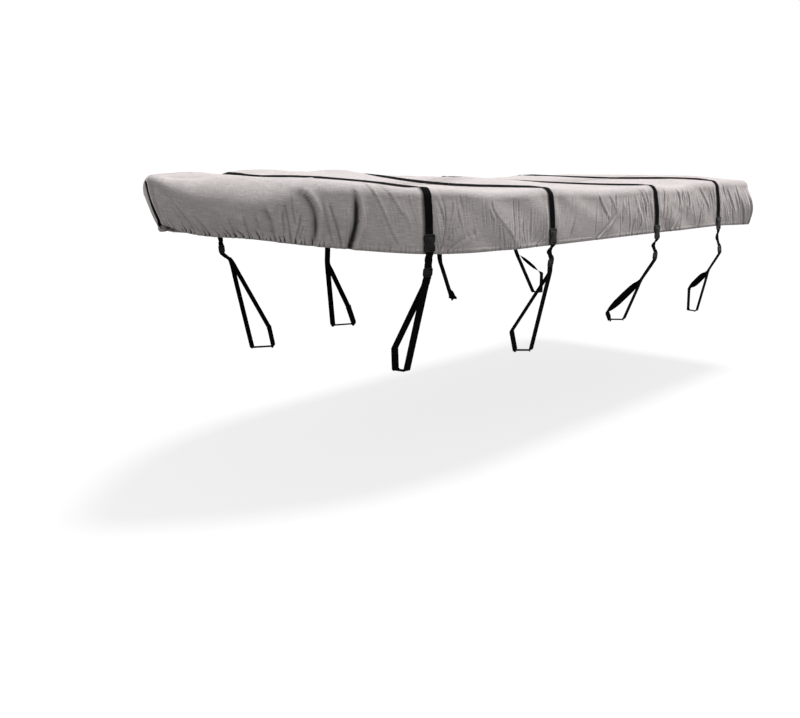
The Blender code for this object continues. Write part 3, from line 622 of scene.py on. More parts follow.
def newMaterial(name):
    material = bpy.data.materials.new(name)
    material.use_nodes = True
    tree = material.node_tree
    tree.nodes.clear()
    shader = addNode(tree, "ShaderNodeBsdfPrincipled")
    addNode(tree, "ShaderNodeOutputMaterial", links={"Surface": shader.outputs[0]})
    return material, tree, shader


clothLook = {
    "base": "8f8a89",
    "dark": "75716f",
    "light": "aca7a5",
    "slub": (0.085, 0.0065),      # a thick weft yarn, long and high; drawn coarser than its 1 mm to show
    "warp": (0.0075, 0.060),
    "patch": (0.55, 0.30),
    "weave": 0.0030,              # thread spacing; 0.6 mm on the real cloth
    "slubShare": 0.46,
    "warpShare": 0.24,
    # strengths of the painted shade in creases, hollows, pockets, gather valleys and beside the straps, and
    # of the painted highlight on ridges
    "creaseDark": 0.26,
    "crispDark": 0.26,
    "crispDepth": 0.0035,
    "pocketDark": 0.62,
    "gatherDark": 0.80,
    "gatherPale": 0.25,
    "ridgeHighlight": 0.26,
    "strapDark": 0.66,
}


def heatheredPolyester():
    # solution-dyed polyester canvas, woven from mixed grey yarns: matt, warm grey, with fine level streaks
    material, tree, shader = newMaterial("heathered_polyester_canvas")
    uv = addNode(tree, "ShaderNodeUVMap", {"uv_map": "grain"}).outputs[0]

    def grain(size, detail):
        scaled = addNode(tree, "ShaderNodeMapping", {"Scale": (1 / size[0], 1 / size[1], 1.0)},
                         {"Vector": uv})
        return addNode(tree, "ShaderNodeTexNoise", {"Scale": 1.0, "Detail": detail, "Roughness": 0.6},
                       {"Vector": scaled.outputs[0]}).outputs["Fac"]

    def spread(value, low, high):
        return addNode(tree, "ShaderNodeMapRange",
                       {"From Min": 0.30, "From Max": 0.70, "To Min": low, "To Max": high},
                       {"Value": value}).outputs[0]

    slubs = spread(grain(clothLook["slub"], 2.0), -1.0, 1.0)
    warps = spread(grain(clothLook["warp"], 2.0), -1.0, 1.0)
    patches = spread(grain(clothLook["patch"], 3.0), -0.16, 0.16)
    mixed = addNode(tree, "ShaderNodeMath", {"operation": "MULTIPLY", 1: clothLook["slubShare"]}, {0: slubs})
    mixed = addNode(tree, "ShaderNodeMath", {"operation": "MULTIPLY_ADD", 1: clothLook["warpShare"]},
                    {0: warps, 2: mixed.outputs[0]})
    mixed = addNode(tree, "ShaderNodeMath", {"operation": "ADD"}, {0: mixed.outputs[0], 1: patches})
    ramp = addNode(tree, "ShaderNodeValToRGB", links={"Fac": addNode(
        tree, "ShaderNodeMapRange", {"From Min": -1.0, "From Max": 1.0},
        {"Value": mixed.outputs[0]}).outputs[0]})
    stops = ramp.color_ramp.elements
    stops[0].color, stops[1].color = linear(clothLook["dark"]), linear(clothLook["light"])
    stops.new(0.5).color = linear(clothLook["base"])
    # painted shade in the folds and beside the straps, and painted highlight on the ridges, scale the yarn's
    # colour
    paintedShadeAttribute = addNode(tree, "ShaderNodeAttribute", {"attribute_name": "shade"})
    shade = addNode(tree, "ShaderNodeMath", {"operation": "SUBTRACT", 0: 1.0}, {1: paintedShadeAttribute.outputs["Fac"]})
    tone = addNode(tree, "ShaderNodeVectorMath", {"operation": "SCALE"},
                   {0: ramp.outputs[0], "Scale": shade.outputs[0]})
    tree.links.new(tone.outputs[0], shader.inputs["Base Color"])

    threads = []
    for axis in ("X", "Y"):
        wave = addNode(tree, "ShaderNodeTexWave", {"bands_direction": axis,
                                                   "Scale": 0.05 / clothLook["weave"] * 2 * math.pi,
                                                   "Distortion": 0.4}, {"Vector": uv})
        threads.append(wave.outputs["Fac"])
    weave = addNode(tree, "ShaderNodeMath", {"operation": "MULTIPLY"}, {0: threads[0], 1: threads[1]})
    relief = addNode(tree, "ShaderNodeMath", {"operation": "MULTIPLY_ADD", 1: 0.7},
                     {0: slubs, 2: weave.outputs[0]})
    bump = addNode(tree, "ShaderNodeBump", {"Strength": 0.25, "Distance": 0.0012},
                   {"Height": relief.outputs[0]})
    tree.links.new(bump.outputs[0], shader.inputs["Normal"])
    for key, value in {"Roughness": 0.86, "Specular IOR Level": 0.22, "Sheen Weight": 0.45,
                       "Sheen Roughness": 0.42, "Sheen Tint": linear("fff4f2")}.items():
        shader.inputs[key].default_value = value
    return material


webLook = {"base": "030304", "worn": "0b0b0c", "rib": 0.0042, "ribAcross": 0.008}


def polypropyleneWebbing():
    # woven polypropylene webbing: near black, a dull sheen, and ribs across it that catch the light
    material, tree, shader = newMaterial("polypropylene_webbing")
    uv = addNode(tree, "ShaderNodeUVMap", {"uv_map": "grain"}).outputs[0]
    ribs = addNode(tree, "ShaderNodeTexWave", {"bands_direction": "X",
                                               "Scale": 0.05 / webLook["rib"] * 2 * math.pi,
                                               "Distortion": 0.6}, {"Vector": uv})
    rows = addNode(tree, "ShaderNodeTexWave", {"bands_direction": "Y",
                                               "Scale": 0.05 / webLook["ribAcross"] * 2 * math.pi},
                   {"Vector": uv})
    height = addNode(tree, "ShaderNodeMath", {"operation": "MULTIPLY"},
                     {0: ribs.outputs["Fac"], 1: rows.outputs["Fac"]})
    scaled = addNode(tree, "ShaderNodeMapping", {"Scale": (20.0, 60.0, 1.0)}, {"Vector": uv})
    fuzz = addNode(tree, "ShaderNodeTexNoise", {"Scale": 1.0, "Detail": 3.0}, {"Vector": scaled.outputs[0]})
    tone = addNode(tree, "ShaderNodeValToRGB", links={"Fac": fuzz.outputs["Fac"]})
    tone.color_ramp.elements[0].color = linear(webLook["base"])
    tone.color_ramp.elements[1].color = linear(webLook["worn"])
    tree.links.new(tone.outputs[0], shader.inputs["Base Color"])
    bump = addNode(tree, "ShaderNodeBump", {"Strength": 0.6, "Distance": 0.0008},
                   {"Height": height.outputs[0]})
    tree.links.new(bump.outputs[0], shader.inputs["Normal"])
    for key, value in {"Roughness": 0.85, "Specular IOR Level": 0.03}.items():
        shader.inputs[key].default_value = value
    return material


def mouldedAcetal():
    # injection-moulded acetal: black with a soft satin gloss and faint grain from the mould
    material, tree, shader = newMaterial("moulded_acetal")
    place = addNode(tree, "ShaderNodeTexCoord").outputs["Object"]
    scuff = addNode(tree, "ShaderNodeTexNoise", {"Scale": 260.0, "Detail": 3.0}, {"Vector": place})
    tone = addNode(tree, "ShaderNodeValToRGB", links={"Fac": scuff.outputs["Fac"]})
    tone.color_ramp.elements[0].color = linear("060607")
    tone.color_ramp.elements[1].color = linear("101011")
    tree.links.new(tone.outputs[0], shader.inputs["Base Color"])
    rough = addNode(tree, "ShaderNodeMapRange", {"To Min": 0.34, "To Max": 0.50},
                    {"Value": scuff.outputs["Fac"]})
    tree.links.new(rough.outputs[0], shader.inputs["Roughness"])
    bump = addNode(tree, "ShaderNodeBump", {"Strength": 0.15, "Distance": 0.0003},
                   {"Height": scuff.outputs["Fac"]})
    tree.links.new(bump.outputs[0], shader.inputs["Normal"])
    shader.inputs["IOR"].default_value = 1.48
    shader.inputs["Specular IOR Level"].default_value = 0.22
    return material


def spunThread(name, code):
    # spun polyester thread: matt, a shade off the cloth that it holds
    material, tree, shader = newMaterial(name)
    place = addNode(tree, "ShaderNodeTexCoord").outputs["Object"]
    twist = addNode(tree, "ShaderNodeTexNoise", {"Scale": 900.0}, {"Vector": place})
    tone = addNode(tree, "ShaderNodeValToRGB", links={"Fac": twist.outputs["Fac"]})
    tone.color_ramp.elements[0].color = linear(code)
    tone.color_ramp.elements[1].color = tuple(min(c * 1.5, 1.0) for c in linear(code)[:3]) + (1.0,)
    tree.links.new(tone.outputs[0], shader.inputs["Base Color"])
    shader.inputs["Roughness"].default_value = 0.8
    return material


clothMaterial = heatheredPolyester()
webMaterial = polypropyleneWebbing()
plasticMaterial = mouldedAcetal()
clothThread = spunThread("grey_spun_thread", "8b8685")
# the piping's own strip of cloth, painted paler than the cover as a painted highlight along the seam
pipingHighlightCloth = spunThread("piping_canvas_painted_highlight", "a39d9b")
webThread = spunThread("black_spun_thread", "1a1a1b")


def paintedClothShade(run, fold, valley):
    # painted light on the cloth, as how much darker than its yarn it is drawn: painted shade in the troughs,
    # hollows, pockets and gather valleys, a painted shadow at the bow edge of each strap, and a painted
    # highlight on the ridges
    around = np.pad(fold, ((2, 2), (0, 0)), mode="edge")
    hollow = ((around[:-4] + around[1:-3] + around[3:-1] + around[4:]) / 4 - fold) / clothLook["crispDepth"]
    shade = clothLook["creaseDark"] * np.clip(-fold / 0.030, 0.0, 1.0)
    shade = shade + clothLook["crispDark"] * np.clip(hollow, 0.0, 1.0)
    shade = shade + clothLook["pocketDark"] * smooth((-fold - 0.016) / 0.022)
    shade = shade + np.where(valley > 0, clothLook["gatherDark"] * valley, clothLook["gatherPale"] * valley)
    shade = shade - clothLook["ridgeHighlight"] * np.clip(-hollow, 0.0, 1.0)
    # the painted shadow that each strap casts on the cloth along its bow side
    edge = np.subtract.outer(run, runAt(strapXs)) + webbing["width"] / 2
    strapShadow = np.exp(-((np.minimum(edge, 0.0) / webbing["strapShadow"]) ** 4)) * (edge < webbing["width"] / 2)
    return np.clip(np.maximum(shade, clothLook["strapDark"] * strapShadow.max(axis=1)[:, None]), -0.35, 0.94)


def coverPanel(name):
    count = coverSize["columns"][name]
    fine = np.linspace(0.0, girthHalf, 8000)
    weight = np.cumsum(np.interp(np.interp(fine, outlineRun, outlineX), *np.array(coverSize["density"]).T))
    weight = (weight - weight[0]) / (weight[-1] - weight[0])
    run = np.interp(np.linspace(0.0, 1.0, count), weight, fine)
    points, fold, valley = coverSurface(run, name)
    points[0, :, 1] = 0.0      # the two halves meet on the centreline
    points[-1, :, 1] = 0.0
    if name == "starboard":    # so that its faces point outwards too
        points, fold, valley, run = points[::-1], fold[::-1], valley[::-1], run[::-1]
    mesh, quads = gridMesh("cover_panel_" + name, points)
    up = np.linalg.norm(np.diff(points, axis=1), axis=2)
    up = np.concatenate((np.zeros((count, 1)), np.cumsum(up, axis=1)), axis=1)
    addUv(mesh, quads, np.broadcast_to(run[:, None], up.shape), up)
    # the painted shade and painted highlight, kept on each point for the cloth's material
    shade = mesh.attributes.new("shade", "FLOAT", "POINT")
    shade.data.foreach_set("value", paintedClothShade(run, fold, valley).reshape(-1))
    area = sum(face.area for face in mesh.polygons)
    thing = thicken(placeObject("cover_panel_" + name, mesh, clothMaterial), coverSize["clothThick"], -1.0)
    thing.data.name = thing.name
    print(name, "panel:", len(thing.data.polygons) * 2, "triangles,", round(area, 2), "m2")
    return thing, area


panels = {}
for panelName in ("port", "starboard"):
    panels[panelName] = coverPanel(panelName)


def ribbon(name, left, right):
    # a strap of webbing between two edges
    shares = np.array((0.0, 0.06, 0.28, 0.5, 0.72, 0.94, 1.0))
    points = left[:, None, :] + (right - left)[:, None, :] * shares[None, :, None]
    mesh, quads = gridMesh(name, points)
    run = np.concatenate(([0.0], np.cumsum(np.linalg.norm(np.diff(points[:, 3], axis=0), axis=1))))
    u = np.broadcast_to(run[:, None], points.shape[:2])
    v = np.broadcast_to(shares[None, :] * webbing["width"], points.shape[:2])
    addUv(mesh, quads, u, v)
    return thicken(placeObject(name, mesh, webMaterial), webbing["thick"], 0.0)


def nodeCentre(node):
    low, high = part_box(node)
    return (low + high) / 2


def wallFrame(place, side, word):
    # a buckle's middle on the wall, the way down it and the way out of it
    name, x, _, _ = place
    run = np.array((runAt(x) - 0.02, runAt(x), runAt(x) + 0.02))
    points = coverSurface(run, word, flat=True)[0]
    low, high = len(hemTurns), len(hemTurns) + 14
    down = Vector(points[1, low] - points[1, high]).normalized()
    across = Vector(points[2, low + 4] - points[0, low + 4])
    out = (down.cross(across) * -side).normalized()
    return nodeCentre("upper_buckle_" + word + "_" + name), down, out


buckleSize = {"long": 0.125, "wide": 0.094, "thick": 0.014}
adjusterSize = {"long": 0.066, "wide": 0.082, "thick": 0.009}


strapEnds = []      # where a top strap's end is: its middle, the way up it, across it and out of it


def topStrap(place):
    # over the cover from one buckle to the other, standing a little off the wall
    name, x, buckleZ, _ = place
    halves = []
    for word, side in (("port", -1.0), ("starboard", 1.0)):
        offsets = np.array((-0.5, 0.0, 0.5)) * webbing["width"]
        points = coverSurface(runAt(x) + offsets, word, flat=True)[0]
        points = points[:, len(hemTurns):]
        centre, down, out = wallFrame(place, side, word)
        endZ = buckleZ + buckleSize["long"] / 2 - 0.012
        middle = points[1]
        start = int(np.argmax(middle[:, 2] > endZ))
        share = (endZ - middle[start - 1, 2]) / (middle[start, 2] - middle[start - 1, 2])
        end = points[:, start - 1] + (points[:, start] - points[:, start - 1]) * share
        points = np.concatenate((end[:, None], points[:, start:]), axis=1)
        alongStrap = np.gradient(points[1], axis=0)
        across = points[2] - points[0]
        up = np.cross(across, alongStrap) * -side
        up /= np.linalg.norm(up, axis=1)[:, None]
        up *= np.sign((up[-1] @ np.array((0.0, 0.0, 1.0))) or 1.0)
        high = np.linspace(0.0, 1.0, len(points[1]))
        onTop = smooth((points[1, :, 2] - points[1, -len(topSteps) - 1, 2] + 0.03) / 0.03)
        nearby = np.max([topHeight(x + off, points[1, :, 1]) for off in np.linspace(-0.10, 0.10, 9)], axis=0)
        bridge = np.clip(nearby - topHeight(x, points[1, :, 1]), 0.0, webbing["bridge"]) + webbing["proud"]
        lift = webbing["gap"] + webbing["standOff"] * np.sin(np.pi * np.clip(high / 0.62, 0, 1)) ** 0.8
        lift = lift + bridge * onTop
        toBuckle = (Vector(points[1, 0]) - centre).dot(out)
        enter = max(-toBuckle, webbing["gap"])
        lift = lift + (enter - lift[0]) * np.clip(1.0 - high / 0.14, 0.0, 1.0) ** 1.5
        lean = np.concatenate((np.zeros(len(high) - len(topSteps)),
                               np.minimum(np.array(topSteps) / 0.13, 1.0)))
        lean = webbing["tilt"] * np.array((0.0, 0.5, 1.0))[:, None] * lean
        halves.append(points + up[None] * (lift + lean)[:, :, None])
        middle = halves[-1][1]
        upward = (middle[1] - middle[0]) / np.linalg.norm(middle[1] - middle[0])
        level = (halves[-1][2, 0] - halves[-1][0, 0]) / webbing["width"]
        strapEnds.append((middle[0], upward, level, up[0]))
    port, starboard = halves
    whole = np.concatenate((port, starboard[:, -2::-1]), axis=1)
    return ribbon("top_webbing_" + name, whole[0], whole[2])


for strapPlace in strapPlaces:
    strap = topStrap(strapPlace)
    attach(strap, "root")
    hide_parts("top_strap_" + strapPlace[0])
print("top straps made")


def smoothPath(points, steps):
    # more points on a smooth curve through the given ones
    found = []
    for i in range(len(points) - 1):
        p0, p1, p2, p3 = (points[max(i - 1, 0)], points[i], points[i + 1],
                          points[min(i + 2, len(points) - 1)])
        for k in range(steps):
            t = k / steps
            found.append(0.5 * (2 * p1 + (p2 - p0) * t + (2 * p0 - 5 * p1 + 4 * p2 - p3) * t**2
                                + (3 * p1 - 3 * p2 + p3 - p0) * t**3))
    return found + [points[-1]]


def ribbonAlong(name, points, level, turns):
    left, right = [], []
    for k, point in enumerate(points):
        run = (points[min(k + 1, len(points) - 1)] - points[max(k - 1, 0)]).normalized()
        across = (level - run * level.dot(run)).normalized()
        across = Matrix.Rotation(math.radians(turns[k]), 3, run) @ across
        left.append(point - across * webbing["width"] / 2)
        right.append(point + across * webbing["width"] / 2)
    return ribbon(name, np.array(left), np.array(right))


def bent(corner, before, after, radius, steps):
    start = corner + (before - corner).normalized() * radius
    end = corner + (after - corner).normalized() * radius
    shares = [k / steps for k in range(steps + 1)]
    return [start.lerp(corner, t).lerp(corner.lerp(end, t), t) for t in shares]


# where a tie-down loop's layers part, go round the rail under the boat, and come back:
# part x, out, z; foot x, out, z; under x; back x, z; turn in degrees
loopPlaces = {
    "port_a": (-1.960, 1.080, -0.650, -1.789, 0.768, -1.348, -1.800, -1.808, -1.183, 0.0),
    "port_b": (-0.548, 1.222, -0.700, -0.475, 1.008, -1.367, -0.556, -0.610, -1.200, 0.0),
    "port_c": (1.092, 1.170, -0.943, 1.084, 1.008, -1.328, 1.004, 0.950, -1.252, 62.0),
    "port_d": (2.526, 1.170, -1.006, 2.636, 1.008, -1.457, 2.647, 2.654, -1.238, 62.0),
    "starboard_a": (-1.925, 1.020, -0.650, -1.935, 0.768, -1.348, -1.790, -1.835, -1.183, 0.0),
    "starboard_b": (-0.590, 1.190, -0.820, -0.715, 1.008, -1.367, -0.535, -0.610, -1.200, 0.0),
    "starboard_c": (1.092, 1.170, -0.943, 1.084, 1.008, -1.328, 1.004, 0.950, -1.252, 62.0),
    "starboard_d": (2.526, 1.170, -1.006, 2.636, 1.008, -1.457, 2.647, 2.654, -1.238, 62.0),
}


def linkStrap(place, tag, side, start, down, end, hang, level):
    bowIn = place[3]
    reach = webbing["endRun"]
    first, last = start + down * reach, end - hang * reach
    points = [start - down * 0.010, first]
    for t in (0.15, 0.32, 0.5, 0.68, 0.85):
        point = first.lerp(last, t)
        point.y -= side * bowIn * math.sin(math.pi * t) ** 1.5
        point.x += 0.004 * math.sin(t * 4 * math.pi)
        points.append(point)
    points = smoothPath(points + [last, end + hang * 0.010], 5)
    return ribbonAlong("link_webbing_" + tag, points, level,
                       [4.0 * math.sin(k * 0.4) for k in range(len(points))])


def tieLoop(tag, side, top, hang, level):
    partX, partOut, partZ, footX, footOut, footZ, underX, backX, backZ, turn = loopPlaces[tag]
    layer = Vector((0.0, side, 0.0))
    layer = (layer - hang * layer.dot(hang)).normalized() * (webbing["layerGap"] / 2)
    inner = footOut - webbing["railWidth"]
    part = Vector((partX, side * partOut, partZ))
    foot = Vector((footX, side * footOut, footZ))
    under = Vector((underX, side * inner, footZ))
    back = Vector((backX, side * inner, backZ))
    first = top + hang * webbing["endRun"]
    points = [top + layer, first + layer, first.lerp(part, 0.5) + layer, part + layer]
    points += [(part + layer).lerp(foot, t) for t in (0.25, 0.5, 0.75)]
    points += bent(foot, part, under, 0.016, 4)
    points += bent(under, foot, back, 0.016, 4)
    points += bent(back, under, part, 0.010, 2)
    flat = len(points)
    points += [back.lerp(part - layer, t) for t in (0.15, 0.30, 0.5, 0.70, 0.85)]
    points += [part - layer, first.lerp(part, 0.5) - layer, first - layer, top - layer]
    turns = [0.0] * flat + [turn * share * side for share in (0.5, 0.9, 1.0, 0.9, 0.5)] + [0.0] * 4
    steps = 3
    places = np.arange((len(points) - 1) * steps + 1) / steps
    turns = np.interp(places, np.arange(len(turns)), turns)
    return ribbonAlong("tie_webbing_" + tag, smoothPath(points, steps), level, turns)


def plateMesh(outer, holes, thick, edge):
    # a flat moulding with holes and rounded edges, from outlines of (across, down) points
    data = bpy.data.curves.new("plate", "CURVE")
    data.dimensions, data.fill_mode = "2D", "BOTH"
    data.extrude, data.bevel_depth, data.bevel_resolution, data.offset = thick / 2 - edge, edge, 2, -edge
    for outline in (outer, *holes):
        spline = data.splines.new("POLY")
        spline.points.add(len(outline) - 1)
        spline.use_cyclic_u = True
        for point, (u, v) in zip(spline.points, outline):
            point.co = (u, v, 0.0, 1.0)
    thing = linkObject("plate", data)
    mesh = plainMesh(thing)
    bpy.data.objects.remove(thing)
    return mesh


def roundedBox(wide, long, corner, centre=(0.0, 0.0), steps=4):
    points = []
    for signU, signV, start in ((1, 1, 0), (-1, 1, 90), (-1, -1, 180), (1, -1, 270)):
        for k in range(steps + 1):
            angle = math.radians(start + 90 * k / steps)
            points.append((centre[0] + signU * (wide / 2 - corner) + corner * math.cos(angle),
                           centre[1] + signV * (long / 2 - corner) + corner * math.sin(angle)))
    return points


def joinMeshes(name, parts, place, material):
    # parts are (mesh, lift along the way out); place turns them into the cover's own frame
    form = bmesh.new()
    for mesh, lift in parts:
        mesh.transform(place @ Matrix.Translation((0.0, 0.0, lift)))
        form.from_mesh(mesh)
    bmesh.ops.remove_doubles(form, verts=form.verts, dist=0.00001)
    joined = bpy.data.meshes.new(name)
    form.to_mesh(joined)
    form.free()
    joined.shade_smooth()
    joined.set_sharp_from_angle(angle=math.radians(40))
    return placeObject(name, joined, material)


def frameMatrix(centre, down, out):
    across = down.cross(out).normalized()
    place = Matrix((across, down, out)).transposed().to_4x4()
    place.translation = centre
    return place


def mirrored(half):
    return [(u, v) for u, v in half] + [(-u, v) for u, v in reversed(half)]


def releaseBuckle(name, centre, down, out):
    # side-release buckle: a socket above, a prong plate below whose arms show at its waist
    long, wide, thick = buckleSize["long"], buckleSize["wide"], buckleSize["thick"]
    socket = mirrored([(wide / 2 - 0.010, -long / 2), (wide / 2, -long / 2 + 0.008), (wide / 2, -0.020),
                       (wide / 2 - 0.004, -0.008), (wide / 2 - 0.010, 0.002), (wide / 2 - 0.010, 0.014),
                       (wide / 2 - 0.013, 0.018)])
    upperSlot = roundedBox(0.068, 0.010, 0.003, (0.0, -long / 2 + 0.016))
    body = plateMesh(socket, [upperSlot], thick, 0.0022)
    arms = mirrored([(0.036, 0.004), (0.0425, 0.012), (wide / 2 - 0.001, 0.026), (wide / 2, 0.036),
                     (wide / 2, long / 2 - 0.008), (wide / 2 - 0.008, long / 2)])
    lowerSlots = [roundedBox(0.068, 0.008, 0.003, (0.0, long / 2 - 0.012)),
                  roundedBox(0.068, 0.008, 0.003, (0.0, long / 2 - 0.027))]
    prongs = plateMesh(arms, lowerSlots, thick * 0.72, 0.0018)
    crown = plateMesh(roundedBox(0.050, 0.036, 0.010, (0.0, -0.022)), [], 0.0036, 0.0012)
    rim = plateMesh(roundedBox(0.030, 0.005, 0.002, (0.0, 0.008)), [], 0.0030, 0.0010)
    # the webbing threaded through each end
    upperTurn, lowerTurn = [
        plateMesh(roundedBox(webbing["width"], deep, 0.002, (0.0, middle)), [], 0.0030, 0.0008)
        for deep, middle in ((0.020, -long / 2 + 0.015), (0.034, long / 2 - 0.019))]
    parts = [(body, 0.0), (prongs, 0.0), (crown, thick / 2 + 0.0006), (rim, thick / 2 + 0.0003),
             (upperTurn, 0.0), (lowerTurn, 0.0)]
    return joinMeshes(name, parts, frameMatrix(centre, down, out), plasticMaterial)


def ladderAdjuster(name, centre, hang, out):
    # ladder adjuster: bars across that the strap threads, and a lip to lift it by
    long, wide, thick = adjusterSize["long"], adjusterSize["wide"], adjusterSize["thick"]
    outline = mirrored([(wide / 2 - 0.008, -long / 2), (wide / 2, -long / 2 + 0.008),
                        (wide / 2, long / 2 - 0.014), (wide / 2 - 0.004, long / 2 - 0.007),
                        (wide / 2 - 0.014, long / 2)])
    slots = [roundedBox(0.066, 0.010, 0.003, (0.0, place)) for place in (-0.020, -0.001, 0.018)]
    plate = plateMesh(outline, slots, thick, 0.0016)
    lip = plateMesh(roundedBox(0.060, 0.007, 0.003, (0.0, long / 2 - 0.006)), [], 0.004, 0.0012)
    # webbing threaded between the bars
    turn = plateMesh(roundedBox(webbing["width"], 0.054, 0.002), [], 0.0030, 0.0008)
    parts = [(plate, 0.0), (lip, thick / 2 + 0.001), (turn, 0.0)]
    return joinMeshes(name, parts, frameMatrix(centre, hang, out), plasticMaterial)


def rigging(place):
    name = place[0]
    for side, word in ((-1.0, "port"), (1.0, "starboard")):
        tag = word + "_" + name
        centre, down, out = wallFrame(place, side, word)
        level = Vector((-out.y, out.x, 0.0)).normalized()
        low = nodeCentre("lower_buckle_" + tag)
        start = centre + down * (buckleSize["long"] / 2 - 0.012)
        hang = (low - start).normalized()
        face = (out - hang * out.dot(hang)).normalized()
        upper = releaseBuckle("release_buckle_" + tag, centre, down, out)
        lower = ladderAdjuster("ladder_adjuster_" + tag, low, hang, face)
        link = linkStrap(place, tag, side, start, down, low - hang * 0.020, hang, level)
        loop = tieLoop(tag, side, low + hang * 0.020, hang, level)
        made = ((upper, "upper_buckle_", "buckle_plastic"), (lower, "lower_buckle_", "buckle_plastic"),
                (link, "link_strap_", "webbing"), (loop, "tie_loop_", "webbing"))
        for piece, node, slot in made:
            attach(piece, "root")
            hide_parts(node + tag)


for strapPlace in strapPlaces:
    rigging(strapPlace)
print("buckles, adjusters and tie-down loops made")


def wireObject(name, lines):
    # the lines that a tree of nodes follows
    mesh = bpy.data.meshes.new(name)
    points, edges = [], []
    for line in lines:
        first = len(points)
        points += [tuple(point) for point in line]
        edges += [(k, k + 1) for k in range(first, len(points) - 1)]
    mesh.from_pydata(points, edges, [])
    return linkObject(name, mesh)


def newTree(name, sizes):
    # a tree of geometry nodes with a number for each size and a material
    tree = bpy.data.node_groups.new(name, "GeometryNodeTree")
    tree.interface.new_socket("Lines", in_out="INPUT", socket_type="NodeSocketGeometry")
    for size in sizes:
        tree.interface.new_socket(size, in_out="INPUT", socket_type="NodeSocketFloat")
    tree.interface.new_socket("Finish", in_out="INPUT", socket_type="NodeSocketMaterial")
    tree.interface.new_socket("Made", in_out="OUTPUT", socket_type="NodeSocketGeometry")
    given = addNode(tree, "NodeGroupInput").outputs
    curve = addNode(tree, "GeometryNodeMeshToCurve", links={0: given["Lines"]}).outputs[0]
    return tree, given, curve


def endTree(tree, given, made):
    made = addNode(tree, "GeometryNodeRealizeInstances", links={0: made}).outputs[0]
    made = addNode(tree, "GeometryNodeSetShadeSmooth", links={"Geometry": made}).outputs[0]
    made = addNode(tree, "GeometryNodeSetMaterial",
                   links={"Geometry": made, "Material": given["Finish"]}).outputs[0]
    addNode(tree, "NodeGroupOutput", links={0: made})
    return tree


def stitchTree():
    # one lockstitch after another along the lines
    tree, given, curve = newTree("stitches_along_lines", ("Pitch", "Stitch Length", "Thread"))
    spaced = addNode(tree, "GeometryNodeResampleCurve", {"mode": "LENGTH"},
                     {"Curve": curve, "Length": given["Pitch"]})
    bead = addNode(tree, "GeometryNodeMeshUVSphere", {"Segments": 6, "Rings": 4, "Radius": 0.5})
    size = addNode(tree, "ShaderNodeCombineXYZ", links={0: given["Thread"], 1: given["Thread"],
                                                        2: given["Stitch Length"]})
    stitch = addNode(tree, "GeometryNodeTransform",
                     links={"Geometry": bead.outputs[0], "Scale": size.outputs[0]})
    way = addNode(tree, "GeometryNodeInputTangent")
    turn = addNode(tree, "FunctionNodeAlignRotationToVector", {"axis": "Z"}, {"Vector": way.outputs[0]})
    rows = addNode(tree, "GeometryNodeInstanceOnPoints",
                   links={"Points": spaced.outputs[0], "Instance": stitch.outputs[0],
                          "Rotation": turn.outputs[0]})
    return endTree(tree, given, rows.outputs[0])


def pipingTree():
    # a round cord of cloth along the lines
    tree, given, curve = newTree("piping_along_lines", ("Pitch", "Across"))
    spaced = addNode(tree, "GeometryNodeResampleCurve", {"mode": "LENGTH"},
                     {"Curve": curve, "Length": given["Pitch"]})
    half = addNode(tree, "ShaderNodeMath", {"operation": "MULTIPLY", 1: 0.5}, {0: given["Across"]})
    ring = addNode(tree, "GeometryNodeCurvePrimitiveCircle", {"Resolution": 8}, {"Radius": half.outputs[0]})
    cord = addNode(tree, "GeometryNodeCurveToMesh", {"Fill Caps": True},
                   {0: spaced.outputs[0], 1: ring.outputs[0]})
    return endTree(tree, given, cord.outputs[0])


def alongLines(name, lines, tree, values):
    # the tree's result as a plain mesh; values are by the input's name
    thing = wireObject(name, lines)
    nodes = thing.modifiers.new("Along lines", "NODES")
    nodes.node_group = tree
    for item in tree.interface.items_tree:
        if item.in_out == "INPUT" and item.name in values:
            nodes[item.identifier] = values[item.name]
    made = plainMesh(thing)
    thing.modifiers.clear()
    thing.data = made
    made.name = name
    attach(thing, "root")
    print(name, len(made.polygons), "faces")
    return thing


stitches = {
    "Pitch": 0.0105,
    "Stitch Length": 0.0082,
    "Thread": 0.0011,
    "proud": 0.0005,
    "hemRows": (4, 5),       # rows of the wall's own steps, above the cord tunnel
    "seamOff": 0.009,
}
piping = {"Pitch": 0.012, "Across": 0.0062, "proud": 0.0012}
tacks = {"Pitch": 0.0052, "Stitch Length": 0.0042, "Thread": 0.0009, "wide": 0.046, "long": 0.040,
         "above": 0.016}
# the black sheet of painted shade on the starboard side of the stem
stemShadeSize = {"wide": 0.190, "thick": 0.0018, "proud": 0.0034, "columns": 40, "startAt": 0.003, "taper": 0.90}


def hemLines():
    lines = []
    run = np.linspace(0.004, girthHalf - 0.004, 1400)
    _, _, outX, outY = outlinePoint(run)
    for name, sign in (("port", -1.0), ("starboard", 1.0)):
        points = coverSurface(run, name)[0]
        for row in stitches["hemRows"]:
            line = points[:, len(hemTurns) + row].copy()
            line[:, 0] += outX * stitches["proud"]
            line[:, 1] += sign * outY * stitches["proud"]
            lines.append(line)
    return lines


def seamLine(off, proud):
    # up the stem, over the top and down the transom, off the centreline by this much
    side = "port" if off <= 0 else "starboard"
    ends = coverSurface(np.array((max(abs(off), 0.001), girthHalf - max(abs(off), 0.001))), side)[0]
    run = np.linspace(0.0, girthHalf, 1200)
    top = coverSurface(run, side)[0][:, -1]
    line = np.concatenate((ends[0, 2:-1], top, ends[1, -2:1:-1]))
    line[:, 1] = off
    keep = np.concatenate(([True], np.linalg.norm(np.diff(line, axis=0), axis=1) > 1e-5))
    line = line[keep]
    way = np.gradient(line, axis=0)
    way /= np.linalg.norm(way, axis=1)[:, None]
    line[:, 0] -= way[:, 2] * proud
    line[:, 2] += way[:, 0] * proud
    return line


